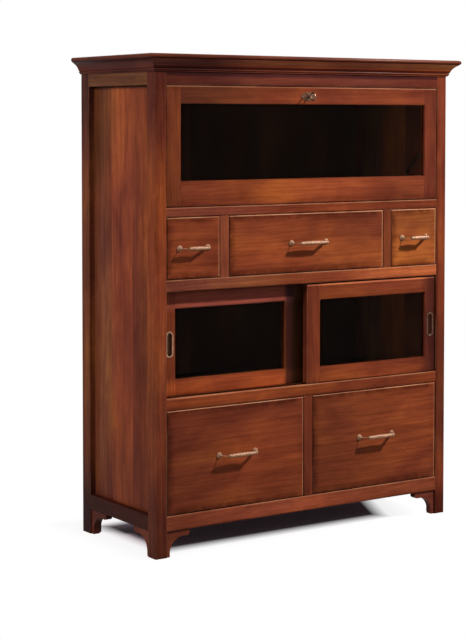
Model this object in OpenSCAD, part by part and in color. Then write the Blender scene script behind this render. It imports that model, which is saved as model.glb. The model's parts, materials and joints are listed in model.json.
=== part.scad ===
// Bakers cabinet: a free-standing pantry cupboard in red-brown stained hardwood.
// A drop-down glass flap is at the top, then three small drawers, two glass doors that slide
// past each other, and two deep drawers, on bracket feet under a moulded cornice.
// Lengths are in millimetres. X runs across the front, Y from front to back, Z up.
// The origin is on the floor, under the middle of the overall box.

/* [Carcass] */
// Width across the corner posts
body_w = 1086; // [980:1:1300]
// Depth from the front faces of the posts to their back faces
body_d = 430; // [400:1:560]
// Width of a corner post, seen from the front
post_w = 38; // [34:1:50]
// Depth of a front post, seen from the side
front_post_d = 42; // [38:1:54]
// Depth of a rear post, seen from the side
rear_post_d = 48; // [44:1:60]
// Rounding of a post's outer corner
post_round = 3; // [1:0.5:6]
// Rounding of the long edges of rails and frames
arris_r = 1; // [0.5:0.25:2]
// How far the side panels lie inside the posts' outer faces
panel_recess = 18; // [10:1:22]
// Thickness of the shelves and floors
board_t = 18; // [14:1:20]
// Thickness of the back panel
back_t = 8; // [6:1:12]
// Depth of the back rails
back_rail_d = 30; // [26:1:40]
// Thickness of the dividers between the upper drawers
upper_divider_w = 30; // [20:1:40]
// Thickness of the divider between the lower drawers
lower_divider_w = 32; // [20:1:44]

/* [Heights] */
// Height of the bracket feet
foot_h = 76; // [66:1:110]
// Height of the bottom rails
bottom_rail_h = 44; // [38:1:60]
// Height of the opening for the lower drawers
lower_opening_h = 306; // [280:1:360]
// Height of the rails under and over the sliding doors
door_rail_h = 34; // [30:1:50]
// Height of the opening for the sliding doors
door_opening_h = 308; // [270:1:400]
// Height of the opening for the upper drawers
upper_opening_h = 181; // [176:1:240]
// Height of the rail under the flap
flap_rail_h = 27; // [24:1:36]
// Height of the opening for the flap
flap_opening_h = 351.5; // [320:0.5:420]
// Height of the top rail that shows under the cornice
frieze_h = 38.5; // [30:0.5:60]
// Height of the cornice moulding
cornice_h = 36; // [32:1:44]
// Thickness of the top board
top_t = 14; // [12:1:20]

/* [Cornice and feet] */
// How far the top board stands out past the posts
overhang = 34; // [32:1:44]
// How far the cornice stands out under the top board
cornice_reach = 29; // [27:1:31]
// Radius of the cornice's hollow
cove_r = 40; // [30:1:70]
// Radius of the cornice's lower bead
bead_r = 3.5; // [2.5:0.5:4]
// How far a front foot bracket reaches from its post
bracket_reach = 80; // [72:1:110]
// How far a side foot bracket reaches from its post
side_bracket_reach = 88; // [72:1:110]
// Thickness of the foot brackets
bracket_t = 22; // [16:1:26]
// How far the brackets lie behind the faces of the posts
bracket_setback = 4; // [2:1:8]
// Width of a bracket where it meets the floor
bracket_floor_w = 12; // [8:1:18]
// Radius of the bracket's hollow curve
bracket_arch_r = 46; // [36:1:48]
// Thickness of the bracket's toe
toe_t = 19; // [14:1:24]

/* [Joinery] */
// Clearance on each side of a glued joint
joint_fit = 0.2; // [0.1:0.05:0.3]
// Thickness of the tongues on panels
tongue_t = 8; // [6:1:9]
// Length of the tongues on panels
tongue_l = 8; // [5:1:9]
// Length of the tenons on rails
tenon_l = 14; // [10:1:14]
// Thickness of the tenons on rails
tenon_t = 12; // [8:1:12]
// Depth of the housings that hold the shelves
housing_l = 5; // [3:1:7]

/* [Flap] */
// Thickness of the flap's frame
flap_t = 22; // [20:1:26]
// How far the flap lies behind the posts' faces
flap_inset = 1; // [0:0.5:2]
// Gap round the flap
flap_gap = 1.5; // [1:0.25:2]
// Gap under the flap
flap_bottom_gap = 2; // [2:0.25:3]
// Width of the flap's stiles
flap_stile_w = 48.5; // [44:0.5:70]
// Height of the flap's top rail
flap_top_h = 51; // [50:1:70]
// Height of the flap's bottom rail
flap_bottom_h = 74; // [50:1:90]
// Height of the pivot above the flap's bottom edge
pivot_rise = 6; // [5:0.5:8]
// Distance of the pivot behind the flap's face
pivot_back = 5; // [4:0.25:5]
// Radius of the pivot pins
pivot_r = 2.5; // [2:0.25:2.5]
// How far a pivot pin goes into the post and into the flap
pivot_reach = 15; // [10:1:20]
// Mean radius of the quadrant stays
stay_r = 150; // [120:1:180]
// Width of the quadrant stays
stay_w = 10; // [8:1:12]
// Thickness of the quadrant stays
stay_t = 3; // [2:0.5:3]

/* [Doors] */
// Thickness of a sliding door
door_t = 22; // [20:1:24]
// How far the front door lies behind the posts' faces
door_inset = 4; // [3:1:6]
// Gap between the two doors
door_spacing = 6; // [5:1:8]
// Gap under a sliding door
door_bottom_gap = 1.5; // [1:0.25:2]
// Gap over a sliding door's shoulders
door_top_gap = 4; // [3.75:0.25:5]
// Gap between a sliding door and the post
door_side_gap = 1; // [0.5:0.25:2]
// Width of the rear door's outer stile
rear_outer_w = 48; // [46:1:60]
// Width of the front door's outer stile
front_outer_w = 42; // [40:1:60]
// Width of the front door's meeting stile
front_meeting_w = 49; // [46:1:60]
// Width of the rear door's meeting stile
rear_meeting_w = 75; // [60:1:90]
// Height of a sliding door's rails
door_rail_w = 48; // [40:1:60]
// How far the front door reaches past the middle of the opening
front_past = 2; // [0:1:10]
// How far the rear door reaches past the middle of the opening
rear_past = 10; // [6:1:20]
// Height of the track strips above the sill
track_h = 5; // [4:0.5:5]
// Thickness of the track strips
track_t = 4; // [3:0.5:5]

/* [Glazing] */
// Thickness of the panes
glass_t = 4; // [3:0.5:5]
// Thickness of the wood in front of a pane
lip_t = 8; // [7:0.5:10]
// Width of the rebate that holds a pane
rebate_w = 9; // [7:0.5:9]
// Width of the chamfer round the sight opening
sight_chamfer = 2; // [1:0.5:3]

/* [Drawers] */
// Width of the openings for the small drawers
small_opening_w = 185; // [175:1:260]
// Gap round a drawer front
drawer_gap = 1.5; // [1:0.25:2]
// Thickness of a drawer front
front_t = 20; // [18:1:24]
// Rounding of a drawer front's edges
front_round = 3; // [2:0.5:4]
// Thickness of the drawer sides and backs
side_t = 12; // [10:1:14]
// Thickness of the drawer bottoms
bottom_t = 6; // [4:0.5:8]
// Clear space behind a drawer box
behind_gap = 16; // [8:1:40]
// Clear space over the upper drawers' boxes
upper_over_gap = 12.5; // [6:0.5:30]
// Clear space over the lower drawers' boxes
lower_over_gap = 60; // [20:1:90]
// Running gap beside a drawer box
run_gap = 2; // [1:0.25:3]
// Running gap under a drawer box
lift_gap = 0.3; // [0.2:0.05:0.5]
// Wood left in front of the dovetails
lap_t = 8; // [6:0.5:9]
// Height of a dovetail at its wide end
tail_h = 30; // [24:1:36]

/* [Brass] */
// Distance between the feet of a small handle
small_pitch = 96; // [80:1:110]
// Distance between the feet of a large handle
large_pitch = 128; // [96:1:160]
// How far the lower handles sit above the middle of their fronts
lower_handle_rise = 6; // [0:1:40]
// How far a handle stands out to the middle of its bar
handle_reach = 27; // [24:1:28]
// How far a handle's legs lean inwards
handle_lean = 15; // [10:1:20]
// Radius of a handle's rosettes
rosette_r = 7.5; // [6:0.5:10]
// Thickness of the rosettes
rosette_t = 3; // [2:0.5:4]
// Radius of a handle's bar at its middle
bar_mid_r = 4.4; // [3.5:0.1:5.5]
// Radius of a handle's bar at its ends
bar_end_r = 2.8; // [2.4:0.1:3.4]
// Width of a flush pull's rim
pull_w = 27; // [24:1:32]
// Height of a flush pull's rim
pull_h = 77; // [60:1:100]
// Depth of a flush pull's cup
pull_depth = 11; // [8:1:12]
// How far the rear door's pull lies off the middle of its stile, clear of the post
pull_shift = 4; // [0:1:5]
// Width of the rim round a flush pull's cup
pull_rim = 5; // [4:0.5:6]
// Height of the keyhole above the flap's sight opening
keyhole_rise = 23; // [22.5:0.5:24]
// Width of the keyhole plate
plate_w = 60; // [46:1:68]
// Height of the keyhole plate
plate_h = 26; // [24:1:28]
// Radius of the key's shank
shank_r = 2.5; // [2:0.1:2.5]
// Length of the key's bit, from the middle of its shank
bit_l = 6.5; // [6:0.1:6.5]

/* [Hidden] */
$fn = 48;

wood = "#7d3b22";
dark_wood = "#5c2a1a";
pale_wood = "#a5714a";
brass = "#b08d57";
glass = [0.75, 0.82, 0.80, 0.35];

// Levels, from the floor up
z_sill = foot_h + bottom_rail_h;
z_lower_top = z_sill + lower_opening_h;
z_door_sill = z_lower_top + door_rail_h;
z_door_head = z_door_sill + door_opening_h;
z_upper_sill = z_door_head + door_rail_h;
z_upper_top = z_upper_sill + upper_opening_h;
z_flap_sill = z_upper_top + flap_rail_h;
z_flap_head = z_flap_sill + flap_opening_h;
z_cornice = z_flap_head + frieze_h;
z_top = z_cornice + cornice_h;

// Places across the front and from front to back, with 0 on the posts' front faces
half_w = body_w / 2;
inner_w = half_w - post_w;
front_y = -(body_d + overhang) / 2 + overhang;
panel_t = post_w - panel_recess;
tongue_x = inner_w + panel_t / 2;
rear_post_y = body_d - rear_post_d;
back_rail_y = body_d - back_rail_d;
back_y = back_rail_y + (back_rail_d - back_t) / 2;
cut = 1;

// Flap: its edges, its pivot and its lock
flap_w = 2 * (inner_w - flap_gap);
flap_z = z_flap_sill + flap_bottom_gap;
flap_h = z_flap_head - flap_gap - flap_z;
flap_back = flap_inset + flap_t;
pivot_y = flap_inset + pivot_back;
pivot_z = flap_z + pivot_rise;
pivot_clear = 0.05;
key_z = flap_z + flap_h - flap_top_h + keyhole_rise;
flap_top_z = flap_z + flap_h;

// Quadrant stays: the guide sits on the post just behind the flap
stay_x = inner_w - 6;
guide_l = 6;
guide_gap = 3;
stay_clear = 0.4;
nib_l = 3;
nib_w = 3;
guide_y = flap_back + guide_gap + guide_l / 2;
guide_angle = asin((guide_y - pivot_y) / stay_r);
guide_far = guide_y + guide_l / 2 - pivot_y;
stay_end = 90 + asin((guide_far + stay_clear) / (stay_r - stay_w / 2 - nib_w)) + asin(nib_l / stay_r);
stay_low = (stay_r + stay_w / 2 + nib_w) * cos(stay_end);
foot_plate_t = 2;
foot_plate_w = 18;
foot_plate_h = 40;

// The shelf behind the flap lies low, so that the stays' ends clear it
shelf_z = min(z_upper_top, pivot_z + stay_low - 1);
shelf_front_y = front_t + 4;
shelf_under = shelf_z - board_t;

// Sliding doors: the right door runs in front, the left one behind it
front_door_y = door_inset;
rear_door_y = front_door_y + door_t + door_spacing;
sill_d = rear_door_y + door_t + 8;
door_z = z_door_sill + door_bottom_gap;
door_h = z_door_head - door_top_gap - door_z;
left_door_w = inner_w - door_side_gap + rear_past;
right_door_w = inner_w - door_side_gap + front_past;
guide_tongue_t = 8;
guide_tongue_h = door_top_gap + 4;
guide_clear = 0.5;
track_seat = 3;
pull_z = door_h / 2;

// Lock: the bolt rises by the length of the key's bit in a quarter turn
lock_fit = 0.2;
lock_w = 56;
lock_y = 8.5;
lock_t = 13;
lock_under = 12;
selvedge_t = 2;
selvedge_w = 72;
bolt_w = 26;
bolt_t = 7;
bolt_y = flap_inset + lock_y + 2.7;
bolt_rise = 4;
strike_t = 1.5;

// Basic shapes -----------------------------------------------------------------

// Puts a piece, drawn from the posts' front faces, into the overall frame
module placed() {
    translate([0, front_y, 0]) children();
}

// Draws a piece and its mirror image across the middle of the cabinet
module both_sides() {
    children();
    mirror([1, 0, 0]) children();
}

// A block from one corner to the other
module block(low, high) {
    translate(low) cube(high - low);
}

// Runs an outline drawn in Y and Z along X, to both sides of the middle
module along_x(length) {
    translate([-length / 2, 0, 0]) rotate([90, 0, 90]) linear_extrude(length) children();
}

// Runs an outline drawn in X and Z along Y, from 0 backwards
module along_y(length) {
    rotate([90, 0, 0]) translate([0, 0, -length]) linear_extrude(length) children();
}

// What a rounding takes off a corner that points down and to the left
module corner_cut(r) {
    difference() {
        translate([-cut, -cut]) square(r + cut);
        translate([r, r]) circle(r);
    }
}

// Rectangle whose corners are rounded where the list says 1, from bottom left, turning left
module eased(w, h, r, corners = [1, 1, 1, 1]) {
    places = [[0, 0], [w, 0], [w, h], [0, h]];
    difference() {
        square([w, h]);
        for (i = [0:3]) if (corners[i] == 1)
            translate(places[i]) rotate(90 * i) corner_cut(r);
    }
}

// Upright slot with round ends, centred
module stadium(w, h) {
    square([w, h - w], center = true);
    for (side = [-1, 1]) translate([0, side * (h - w) / 2]) circle(w / 2);
}

// Board whose front edges are rounded all round
module soft_front(w, t, h, r) {
    intersection() {
        along_x(w) eased(t, h, r, [1, 0, 0, 1]);
        translate([-w / 2, 0, 0]) linear_extrude(h) eased(w, t, r, [1, 1, 0, 0]);
    }
}

// Carcass ----------------------------------------------------------------------

// The front rails, as [underside, top]
front_rails = [
    [foot_h, z_sill], [z_lower_top, z_door_sill], [z_door_head, z_upper_sill],
    [z_upper_top, z_flap_sill], [z_flap_head, z_top]];
front_shoulder = 5;
panel_shoulder = tongue_l + 2;
// The rails over and under a panel, at the sides and at the back
panel_rails = [[foot_h, z_sill], [z_flap_head, z_top]];

// Tenon of a front rail, on the left, or the mortise for it when fit is above 0
module front_tenon(rail, fit = 0) {
    y = front_post_d / 2;
    block([-inner_w - tenon_l - fit, y - tenon_t / 2 - fit, rail[0] + front_shoulder - fit],
        [-inner_w + fit, y + tenon_t / 2 + fit, rail[1] - front_shoulder + fit]);
}

// Tenons of a left side rail, or the mortises for them when fit is above 0
module side_tenons(rail, fit = 0) {
    x = -half_w + post_w / 2;
    block([x - tenon_t / 2 - fit, front_post_d - tenon_l - fit, rail[0] + panel_shoulder - fit],
        [x + tenon_t / 2 + fit, rear_post_y + tenon_l + fit, rail[1] - panel_shoulder + fit]);
}

// Tenon of a back rail, on the left, or the mortise for it when fit is above 0
module back_tenon(rail, fit = 0) {
    y = back_rail_y + back_rail_d / 2;
    block([-inner_w - tenon_l - fit, y - back_t / 2 - fit, rail[0] + panel_shoulder - fit],
        [-inner_w + fit, y + back_t / 2 + fit, rail[1] - panel_shoulder + fit]);
}

// The space that a left side panel's tongues fill, or their grooves when fit is above 0
module side_tongues(fit = 0) {
    reach = tongue_l + fit;
    block([-tongue_x - tongue_t / 2 - fit, front_post_d - reach, z_sill - reach],
        [-tongue_x + tongue_t / 2 + fit, rear_post_y + reach, z_flap_head + reach]);
}

// The back panel, or the groove for it when fit is above 0
module back_field(fit = 0) {
    reach = tongue_l + fit;
    block([-inner_w - reach, back_y - fit, z_sill - reach],
        [inner_w + reach, back_y + back_t + fit, z_flap_head + reach]);
}

module front_post() {
    color(wood) placed() difference() {
        translate([-half_w, 0, 0]) linear_extrude(z_top)
            eased(post_w, front_post_d, post_round, [1, 0, 0, 0]);
        for (rail = front_rails) front_tenon(rail, joint_fit);
        for (rail = panel_rails) side_tenons(rail, joint_fit);
        side_tongues(joint_fit);
        translate([-inner_w - pivot_reach, pivot_y, pivot_z]) rotate([0, 90, 0])
            cylinder(h = pivot_reach + cut, r = pivot_r + pivot_clear);
    }
}

module rear_post() {
    color(wood) placed() difference() {
        translate([-half_w, rear_post_y, 0]) linear_extrude(z_top)
            eased(post_w, rear_post_d, post_round, [0, 0, 0, 1]);
        for (rail = panel_rails) {
            side_tenons(rail, joint_fit);
            back_tenon(rail, joint_fit);
        }
        side_tongues(joint_fit);
        back_field(joint_fit);
    }
}

module side_rails() {
    color(wood) placed() both_sides() for (rail = panel_rails) difference() {
        union() {
            translate([-half_w, front_post_d, rail[0]]) along_y(rear_post_y - front_post_d)
                eased(post_w, rail[1] - rail[0], arris_r);
            side_tenons(rail);
        }
        side_tongues(joint_fit);
    }
}

// The shelves that the side panels hold, as [underside, top, front edge]
housed = [
    [shelf_under, shelf_z, front_post_d],
    [z_upper_sill - board_t, z_upper_sill, sill_d],
    [z_door_sill - board_t, z_door_sill, sill_d]];

// The ends of a shelf that stand in the side panels, or the housings when fit is above 0
module housed_ends(shelf, fit = 0) {
    reach = inner_w + housing_l + fit;
    block([-reach, shelf[2] + 2 - fit, shelf[0] - fit],
        [reach, rear_post_y - 2 + fit, shelf[1] + fit]);
}

module side_panel() {
    color(wood) placed() difference() {
        union() {
            block([-half_w + panel_recess, front_post_d, z_sill],
                [-inner_w, rear_post_y, z_flap_head]);
            side_tongues();
        }
        for (shelf = housed) housed_ends(shelf, joint_fit);
    }
}

// A rail across the front between the posts, with its tenons
module front_rail(rail, depth) {
    translate([0, 0, rail[0]]) along_x(2 * inner_w) eased(depth, rail[1] - rail[0], arris_r);
    both_sides() front_tenon(rail);
}

module top_rail() {
    color(wood) placed() difference() {
        front_rail(front_rails[4], front_post_d);
        // Strike plate's seat and the pocket for the bolt over it
        block([-strike_w / 2 - lock_fit, bolt_y - strike_margin, z_flap_head - cut],
            [strike_w / 2 + lock_fit, bolt_y + bolt_t + strike_margin, z_flap_head + strike_t]);
        block([-bolt_w / 2 - 1, bolt_y - 1, z_flap_head],
            [bolt_w / 2 + 1, bolt_y + bolt_t + 1, flap_top_z + bit_l + 3]);
    }
}

module flap_sill_rail() {
    color(wood) placed() front_rail(front_rails[3], front_post_d);
}

module door_head_rail() {
    color(wood) placed() difference() {
        front_rail(front_rails[2], sill_d);
        for (y = [front_door_y, rear_door_y]) {
            middle = y + door_t / 2;
            block([-inner_w, middle - guide_tongue_t / 2 - guide_clear, z_door_head - cut],
                [inner_w, middle + guide_tongue_t / 2 + guide_clear,
                    door_z + door_h + guide_tongue_h + door_top_gap + 2]);
        }
    }
}

module door_sill_rail() {
    color(wood) placed() difference() {
        front_rail(front_rails[1], sill_d);
        for (y = [front_door_y, rear_door_y]) track(y, track_seat, joint_fit);
    }
}

module bottom_rail() {
    color(wood) placed() front_rail(front_rails[0], front_post_d);
}

module back_rails() {
    color(wood) placed() for (rail = panel_rails) difference() {
        union() {
            block([-inner_w, back_rail_y, rail[0]], [inner_w, body_d, rail[1]]);
            both_sides() back_tenon(rail);
        }
        back_field(joint_fit);
    }
}

module back_panel() {
    color(dark_wood) placed() back_field();
}

// An upright partition with a step in its top, between a rail in front and a shelf behind
module divider(x, width, bottom, front_top, step_y, back_top) {
    block([x, 0, bottom], [x + width, step_y, front_top]);
    block([x, step_y - cut, bottom], [x + width, back_y, back_top]);
}

module upper_dividers() {
    color(wood) placed() both_sides()
        divider(-inner_w + small_opening_w, upper_divider_w, z_upper_sill, z_upper_top,
            shelf_front_y, shelf_under);
}

module lower_divider() {
    color(wood) placed() {
        block([-lower_divider_w / 2, 0, z_sill], [lower_divider_w / 2, back_y, z_lower_top]);
        block([-lower_divider_w / 2, sill_d, z_sill],
            [lower_divider_w / 2, back_y, z_door_sill - board_t]);
    }
}

module flap_shelf() {
    color(wood) placed() {
        block([-inner_w, shelf_front_y, shelf_under], [inner_w, back_y, shelf_z]);
        housed_ends(housed[0]);
    }
}

module housed_floor(shelf) {
    block([-inner_w, shelf[2], shelf[0]], [inner_w, back_y, shelf[1]]);
    housed_ends(shelf);
}

module upper_drawer_floor() {
    color(wood) placed() housed_floor(housed[1]);
}

module door_floor() {
    color(wood) placed() housed_floor(housed[2]);
}

module bottom_floor() {
    color(wood) placed()
        block([-inner_w, front_post_d, z_sill - board_t], [inner_w, back_rail_y, z_sill]);
}

// Cornice and top ----------------------------------------------------------------

// Section of the cornice, with X out from the posts' faces and Y up from its underside
module cornice_section() {
    fillet_h = 3;
    bead_z = fillet_h + bead_r;
    cove_low = [2 * bead_r + 1, fillet_h + 2 * bead_r + 1];
    cove_high = [cornice_reach, cornice_h - 1];
    chord = cove_high - cove_low;
    span = norm(chord);
    away = sqrt(cove_r * cove_r - span * span / 4) / span;
    middle = (cove_low + cove_high) / 2;
    square([bead_r, 2 * bead_z - fillet_h]);
    translate([bead_r, bead_z]) circle(bead_r);
    difference() {
        translate([0, cove_low[1] - 1]) union() {
            square([cove_low[0], 2]);
            polygon([[0, 0], [cove_low[0], 1], [cove_high[0], cove_high[1] - cove_low[1] + 1],
                [cove_high[0] + 1, cornice_h - cove_low[1] + 1], [0, cornice_h - cove_low[1] + 1]]);
        }
        translate([middle[0] + chord[1] * away, middle[1] - chord[0] * away])
            circle(cove_r, $fn = 180);
    }
}

// Plan of one length of cornice, from its mitre at the front left corner
module cornice_front() {
    reach = cornice_reach + 1;
    color(wood) placed() intersection() {
        translate([0, 0, z_cornice]) along_x(body_w + 2 * reach)
            mirror([1, 0]) cornice_section();
        translate([0, 0, z_cornice - cut]) linear_extrude(cornice_h + 2 * cut)
            polygon([[-half_w - reach, -reach], [half_w + reach, -reach], [half_w, 0], [-half_w, 0]]);
    }
}

module cornice_side() {
    reach = cornice_reach + 1;
    color(wood) placed() intersection() {
        translate([-half_w, -reach, z_cornice]) along_y(body_d + reach)
            mirror([1, 0]) cornice_section();
        translate([0, 0, z_cornice - cut]) linear_extrude(cornice_h + 2 * cut)
            polygon([[-half_w - reach, -reach], [-half_w, 0], [-half_w, body_d],
                [-half_w - reach, body_d]]);
    }
}

module top_board() {
    nose_r = top_t / 2;
    color(wood) placed() translate([0, 0, z_top]) intersection() {
        along_x(body_w + 2 * overhang) {
            translate([nose_r - overhang, 0]) square([body_d + overhang - nose_r, top_t]);
            translate([nose_r - overhang, nose_r]) circle(nose_r);
        }
        translate([0, -overhang, 0]) along_y(body_d + overhang) {
            translate([-half_w - overhang + nose_r, 0])
                square([body_w + 2 * (overhang - nose_r), top_t]);
            for (side = [-1, 1]) translate([side * (half_w + overhang - nose_r), nose_r])
                circle(nose_r);
        }
    }
}

// Feet ---------------------------------------------------------------------------

// Outline of a foot bracket, with X away from its post and Y up from the floor
module bracket_outline(reach) {
    arch_top = foot_h - toe_t;
    toe_r = toe_t / 2;
    difference() {
        square([reach, foot_h]);
        translate([bracket_floor_w, -cut])
            square([reach, arch_top - bracket_arch_r + cut]);
        translate([bracket_floor_w + bracket_arch_r, -cut]) square([reach, arch_top + cut]);
        translate([bracket_floor_w + bracket_arch_r, arch_top - bracket_arch_r])
            circle(bracket_arch_r, $fn = 120);
        translate([reach, arch_top]) rotate(90) corner_cut(toe_r);
    }
}

module foot_brackets() {
    color(wood) placed() both_sides() {
        translate([-inner_w, bracket_setback, 0])
            along_y(bracket_t) bracket_outline(bracket_reach);
        translate([-inner_w, body_d - bracket_setback - bracket_t, 0])
            along_y(bracket_t) bracket_outline(bracket_reach);
        translate([-half_w + bracket_setback, front_post_d, 0])
            rotate([90, 0, 90]) linear_extrude(bracket_t) bracket_outline(side_bracket_reach);
        translate([-half_w + bracket_setback, rear_post_y, 0]) rotate([90, 0, 90])
            linear_extrude(bracket_t) mirror([1, 0]) bracket_outline(side_bracket_reach);
    }
}

// Sliding doors --------------------------------------------------------------------

// One track strip under the door that starts at y, or its seat when fit is above 0
module track(y, seat, fit = 0) {
    middle = y + door_t / 2;
    block([-inner_w - fit, middle - track_t / 2 - fit, z_door_sill - seat - fit],
        [inner_w + fit, middle + track_t / 2 + fit, z_door_sill + track_h]);
}

module door_tracks() {
    color(dark_wood) placed() for (y = [front_door_y, rear_door_y]) track(y, track_seat);
}

// What is cut out of a glazed frame: the sight opening, the pane's rebate and the chamfer.
// size holds [width, thickness, height]; edges holds [left, right, bottom, top] widths.
module glazing_cut(size, edges) {
    low = [edges[0], -cut, edges[2]];
    high = [size[0] - edges[1], size[1] + cut, size[2] - edges[3]];
    block(low, high);
    block([low[0] - rebate_w, lip_t, low[2] - rebate_w],
        [high[0] + rebate_w, size[1] + cut, high[2] + rebate_w]);
    middle = (low + high) / 2;
    intersection() {
        translate([middle[0], 0, middle[2]]) along_x(size[0]) rotate(90)
            splay(high[2] - low[2]);
        translate([middle[0], 0, 0]) linear_extrude(size[2]) splay(high[0] - low[0]);
    }
}

// Section through the chamfered mouth of an opening, wider in front of the face at y = 0
module splay(width) {
    narrow = width / 2 - cut;
    wide = width / 2 + sight_chamfer + cut;
    polygon([[-wide, -cut], [wide, -cut], [narrow, sight_chamfer + cut],
        [-narrow, sight_chamfer + cut]]);
}

// Tenons of a glazed frame's rail, or its mortises when fit is above 0
shoulder_line = 0.1;
module frame_tenons(size, edges, bottom, height, fit = 0) {
    frame_tenon_l = 26;
    frame_tenon_t = 8;
    y = size[1] / 2 - frame_tenon_t / 2;
    block([edges[0] - frame_tenon_l - fit, y - fit, bottom + rebate_w + 3 - fit],
        [size[0] - edges[1] + frame_tenon_l + fit, y + frame_tenon_t + fit,
            bottom + height - rebate_w - 3 + fit]);
}

module frame_stiles(size, edges) {
    difference() {
        for (side = [0, 1]) translate([side == 0 ? 0 : size[0] - edges[1], 0, 0])
            linear_extrude(size[2]) eased(edges[side], size[1], arris_r,
                side == 0 ? [1, 0, 0, 1] : [0, 1, 1, 0]);
        frame_tenons(size, edges, 0, edges[2], joint_fit);
        frame_tenons(size, edges, size[2] - edges[3], edges[3], joint_fit);
        glazing_cut(size, edges);
    }
}

module frame_rails(size, edges) {
    length = size[0] - edges[0] - edges[1] - 2 * shoulder_line;
    for (end = [[0, edges[2]], [size[2] - edges[3], edges[3]]]) difference() {
        union() {
            translate([edges[0] + shoulder_line + length / 2, 0, end[0]]) along_x(length)
                eased(size[1], end[1], arris_r, end[0] == 0 ? [1, 1, 0, 0] : [0, 0, 1, 1]);
            frame_tenons(size, edges, end[0], end[1]);
        }
        glazing_cut(size, edges);
    }
}

module frame_pane(size, edges) {
    margin = rebate_w - 1;
    block([edges[0] - margin, lip_t, edges[2] - margin],
        [size[0] - edges[1] + margin, lip_t + glass_t, size[2] - edges[3] + margin]);
}

// Four mitred beads that hold the pane from behind
module frame_beads(size, edges) {
    margin = rebate_w - joint_fit;
    low = [edges[0] - margin, edges[2] - margin];
    high = [size[0] - edges[1] + margin, size[2] - edges[3] + margin];
    w = rebate_w;
    depth = size[1] - lip_t - glass_t - 1;
    translate([0, lip_t + glass_t, 0]) {
        along_y(depth) polygon([low, [high[0], low[1]], [high[0] - w, low[1] + w], low + [w, w]]);
        along_y(depth) polygon([[low[0], high[1]], low + [0, 0], low + [w, w],
            [low[0] + w, high[1] - w]]);
        along_y(depth) polygon([[high[0], low[1]], high, high - [w, w], [high[0] - w, low[1] + w]]);
        along_y(depth) polygon([high, [low[0], high[1]], [low[0] + w, high[1] - w], high - [w, w]]);
    }
}

// A sliding door's frame: stiles, rails and beads, with a tongue on top and a groove below
module door_frame(door_w, edges) {
    size = [door_w, door_t, door_h];
    tongue_y = (door_t - guide_tongue_t) / 2;
    groove_w = track_t + 2 * guide_clear;
    difference() {
        union() {
            frame_stiles(size, edges);
            frame_rails(size, edges);
            for (span = [[0, edges[0]],
                    [edges[0] + shoulder_line, door_w - edges[1] - shoulder_line],
                    [door_w - edges[1], door_w]])
                block([span[0], tongue_y, door_h - 2 * cut],
                    [span[1], tongue_y + guide_tongue_t, door_h + guide_tongue_h]);
        }
        block([-cut, (door_t - groove_w) / 2, -cut],
            [door_w + cut, (door_t + groove_w) / 2, track_h - door_bottom_gap + guide_clear * 2]);
    }
    frame_beads(size, edges);
}

// Puts a piece of a door, drawn from its lower left corner, where that door hangs at rest
module at_left_door() {
    placed() translate([-inner_w + door_side_gap, rear_door_y, door_z]) children();
}

module at_right_door() {
    placed() translate([inner_w - door_side_gap - right_door_w, front_door_y, door_z]) children();
}

left_edges = [rear_outer_w, rear_meeting_w, door_rail_w, door_rail_w];
right_edges = [front_meeting_w, front_outer_w, door_rail_w, door_rail_w];
left_pull_x = rear_outer_w / 2 + pull_shift;
right_pull_x = right_door_w - front_outer_w / 2;

// The hole in a stile for a flush pull's cup
module pull_seat(x) {
    translate([x, -cut, pull_z]) along_y(pull_depth + cut + joint_fit)
        stadium(pull_w - 2 * pull_rim + 2 + 2 * joint_fit, pull_h - 2 * pull_rim + 2 + 2 * joint_fit);
}

// A brass cup let into the stile, with a flat rim on its face
module flush_pull(x) {
    rim_t = 1.2;
    wall = 1;
    color(brass) translate([x, 0, pull_z]) difference() {
        union() {
            translate([0, -rim_t, 0]) along_y(rim_t) stadium(pull_w, pull_h);
            along_y(pull_depth) stadium(pull_w - 2 * pull_rim + 2 * wall,
                pull_h - 2 * pull_rim + 2 * wall);
        }
        translate([0, -rim_t - cut, 0]) along_y(rim_t + cut + pull_depth - wall)
            stadium(pull_w - 2 * pull_rim, pull_h - 2 * pull_rim);
    }
}

module left_door_frame() {
    color(wood) at_left_door() difference() {
        door_frame(left_door_w, left_edges);
        pull_seat(left_pull_x);
    }
}

module right_door_frame() {
    color(wood) at_right_door() difference() {
        door_frame(right_door_w, right_edges);
        pull_seat(right_pull_x);
    }
}

module left_door_glass() {
    color(glass) at_left_door() frame_pane([left_door_w, door_t, door_h], left_edges);
}

module right_door_glass() {
    color(glass) at_right_door() frame_pane([right_door_w, door_t, door_h], right_edges);
}

module left_door_pull() {
    at_left_door() flush_pull(left_pull_x);
}

module right_door_pull() {
    at_right_door() flush_pull(right_pull_x);
}

// Flap -----------------------------------------------------------------------------

flap_size = [flap_w, flap_t, flap_h];
flap_edges = [flap_stile_w, flap_stile_w, flap_bottom_h, flap_top_h];

// Puts a piece of the flap, drawn from its lower left corner, where the closed flap stands
module at_flap() {
    placed() translate([-flap_w / 2, flap_inset, flap_z]) children();
}

module flap_stiles() {
    color(wood) difference() {
        at_flap() frame_stiles(flap_size, flap_edges);
        placed() both_sides() translate([-flap_w / 2 - cut, pivot_y, pivot_z]) rotate([0, 90, 0])
            cylinder(h = pivot_reach + cut + 1, r = pivot_r + pivot_clear);
    }
}

module flap_rails() {
    color(wood) difference() {
        at_flap() frame_rails(flap_size, flap_edges);
        placed() {
            lock_body(lock_fit);
            keyhole(flap_inset - cut, lock_y + cut, shank_r + 1);
        }
    }
}

module flap_beads() {
    color(wood) at_flap() frame_beads(flap_size, flap_edges);
}

module flap_glass() {
    color(glass) at_flap() frame_pane(flap_size, flap_edges);
}

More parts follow.
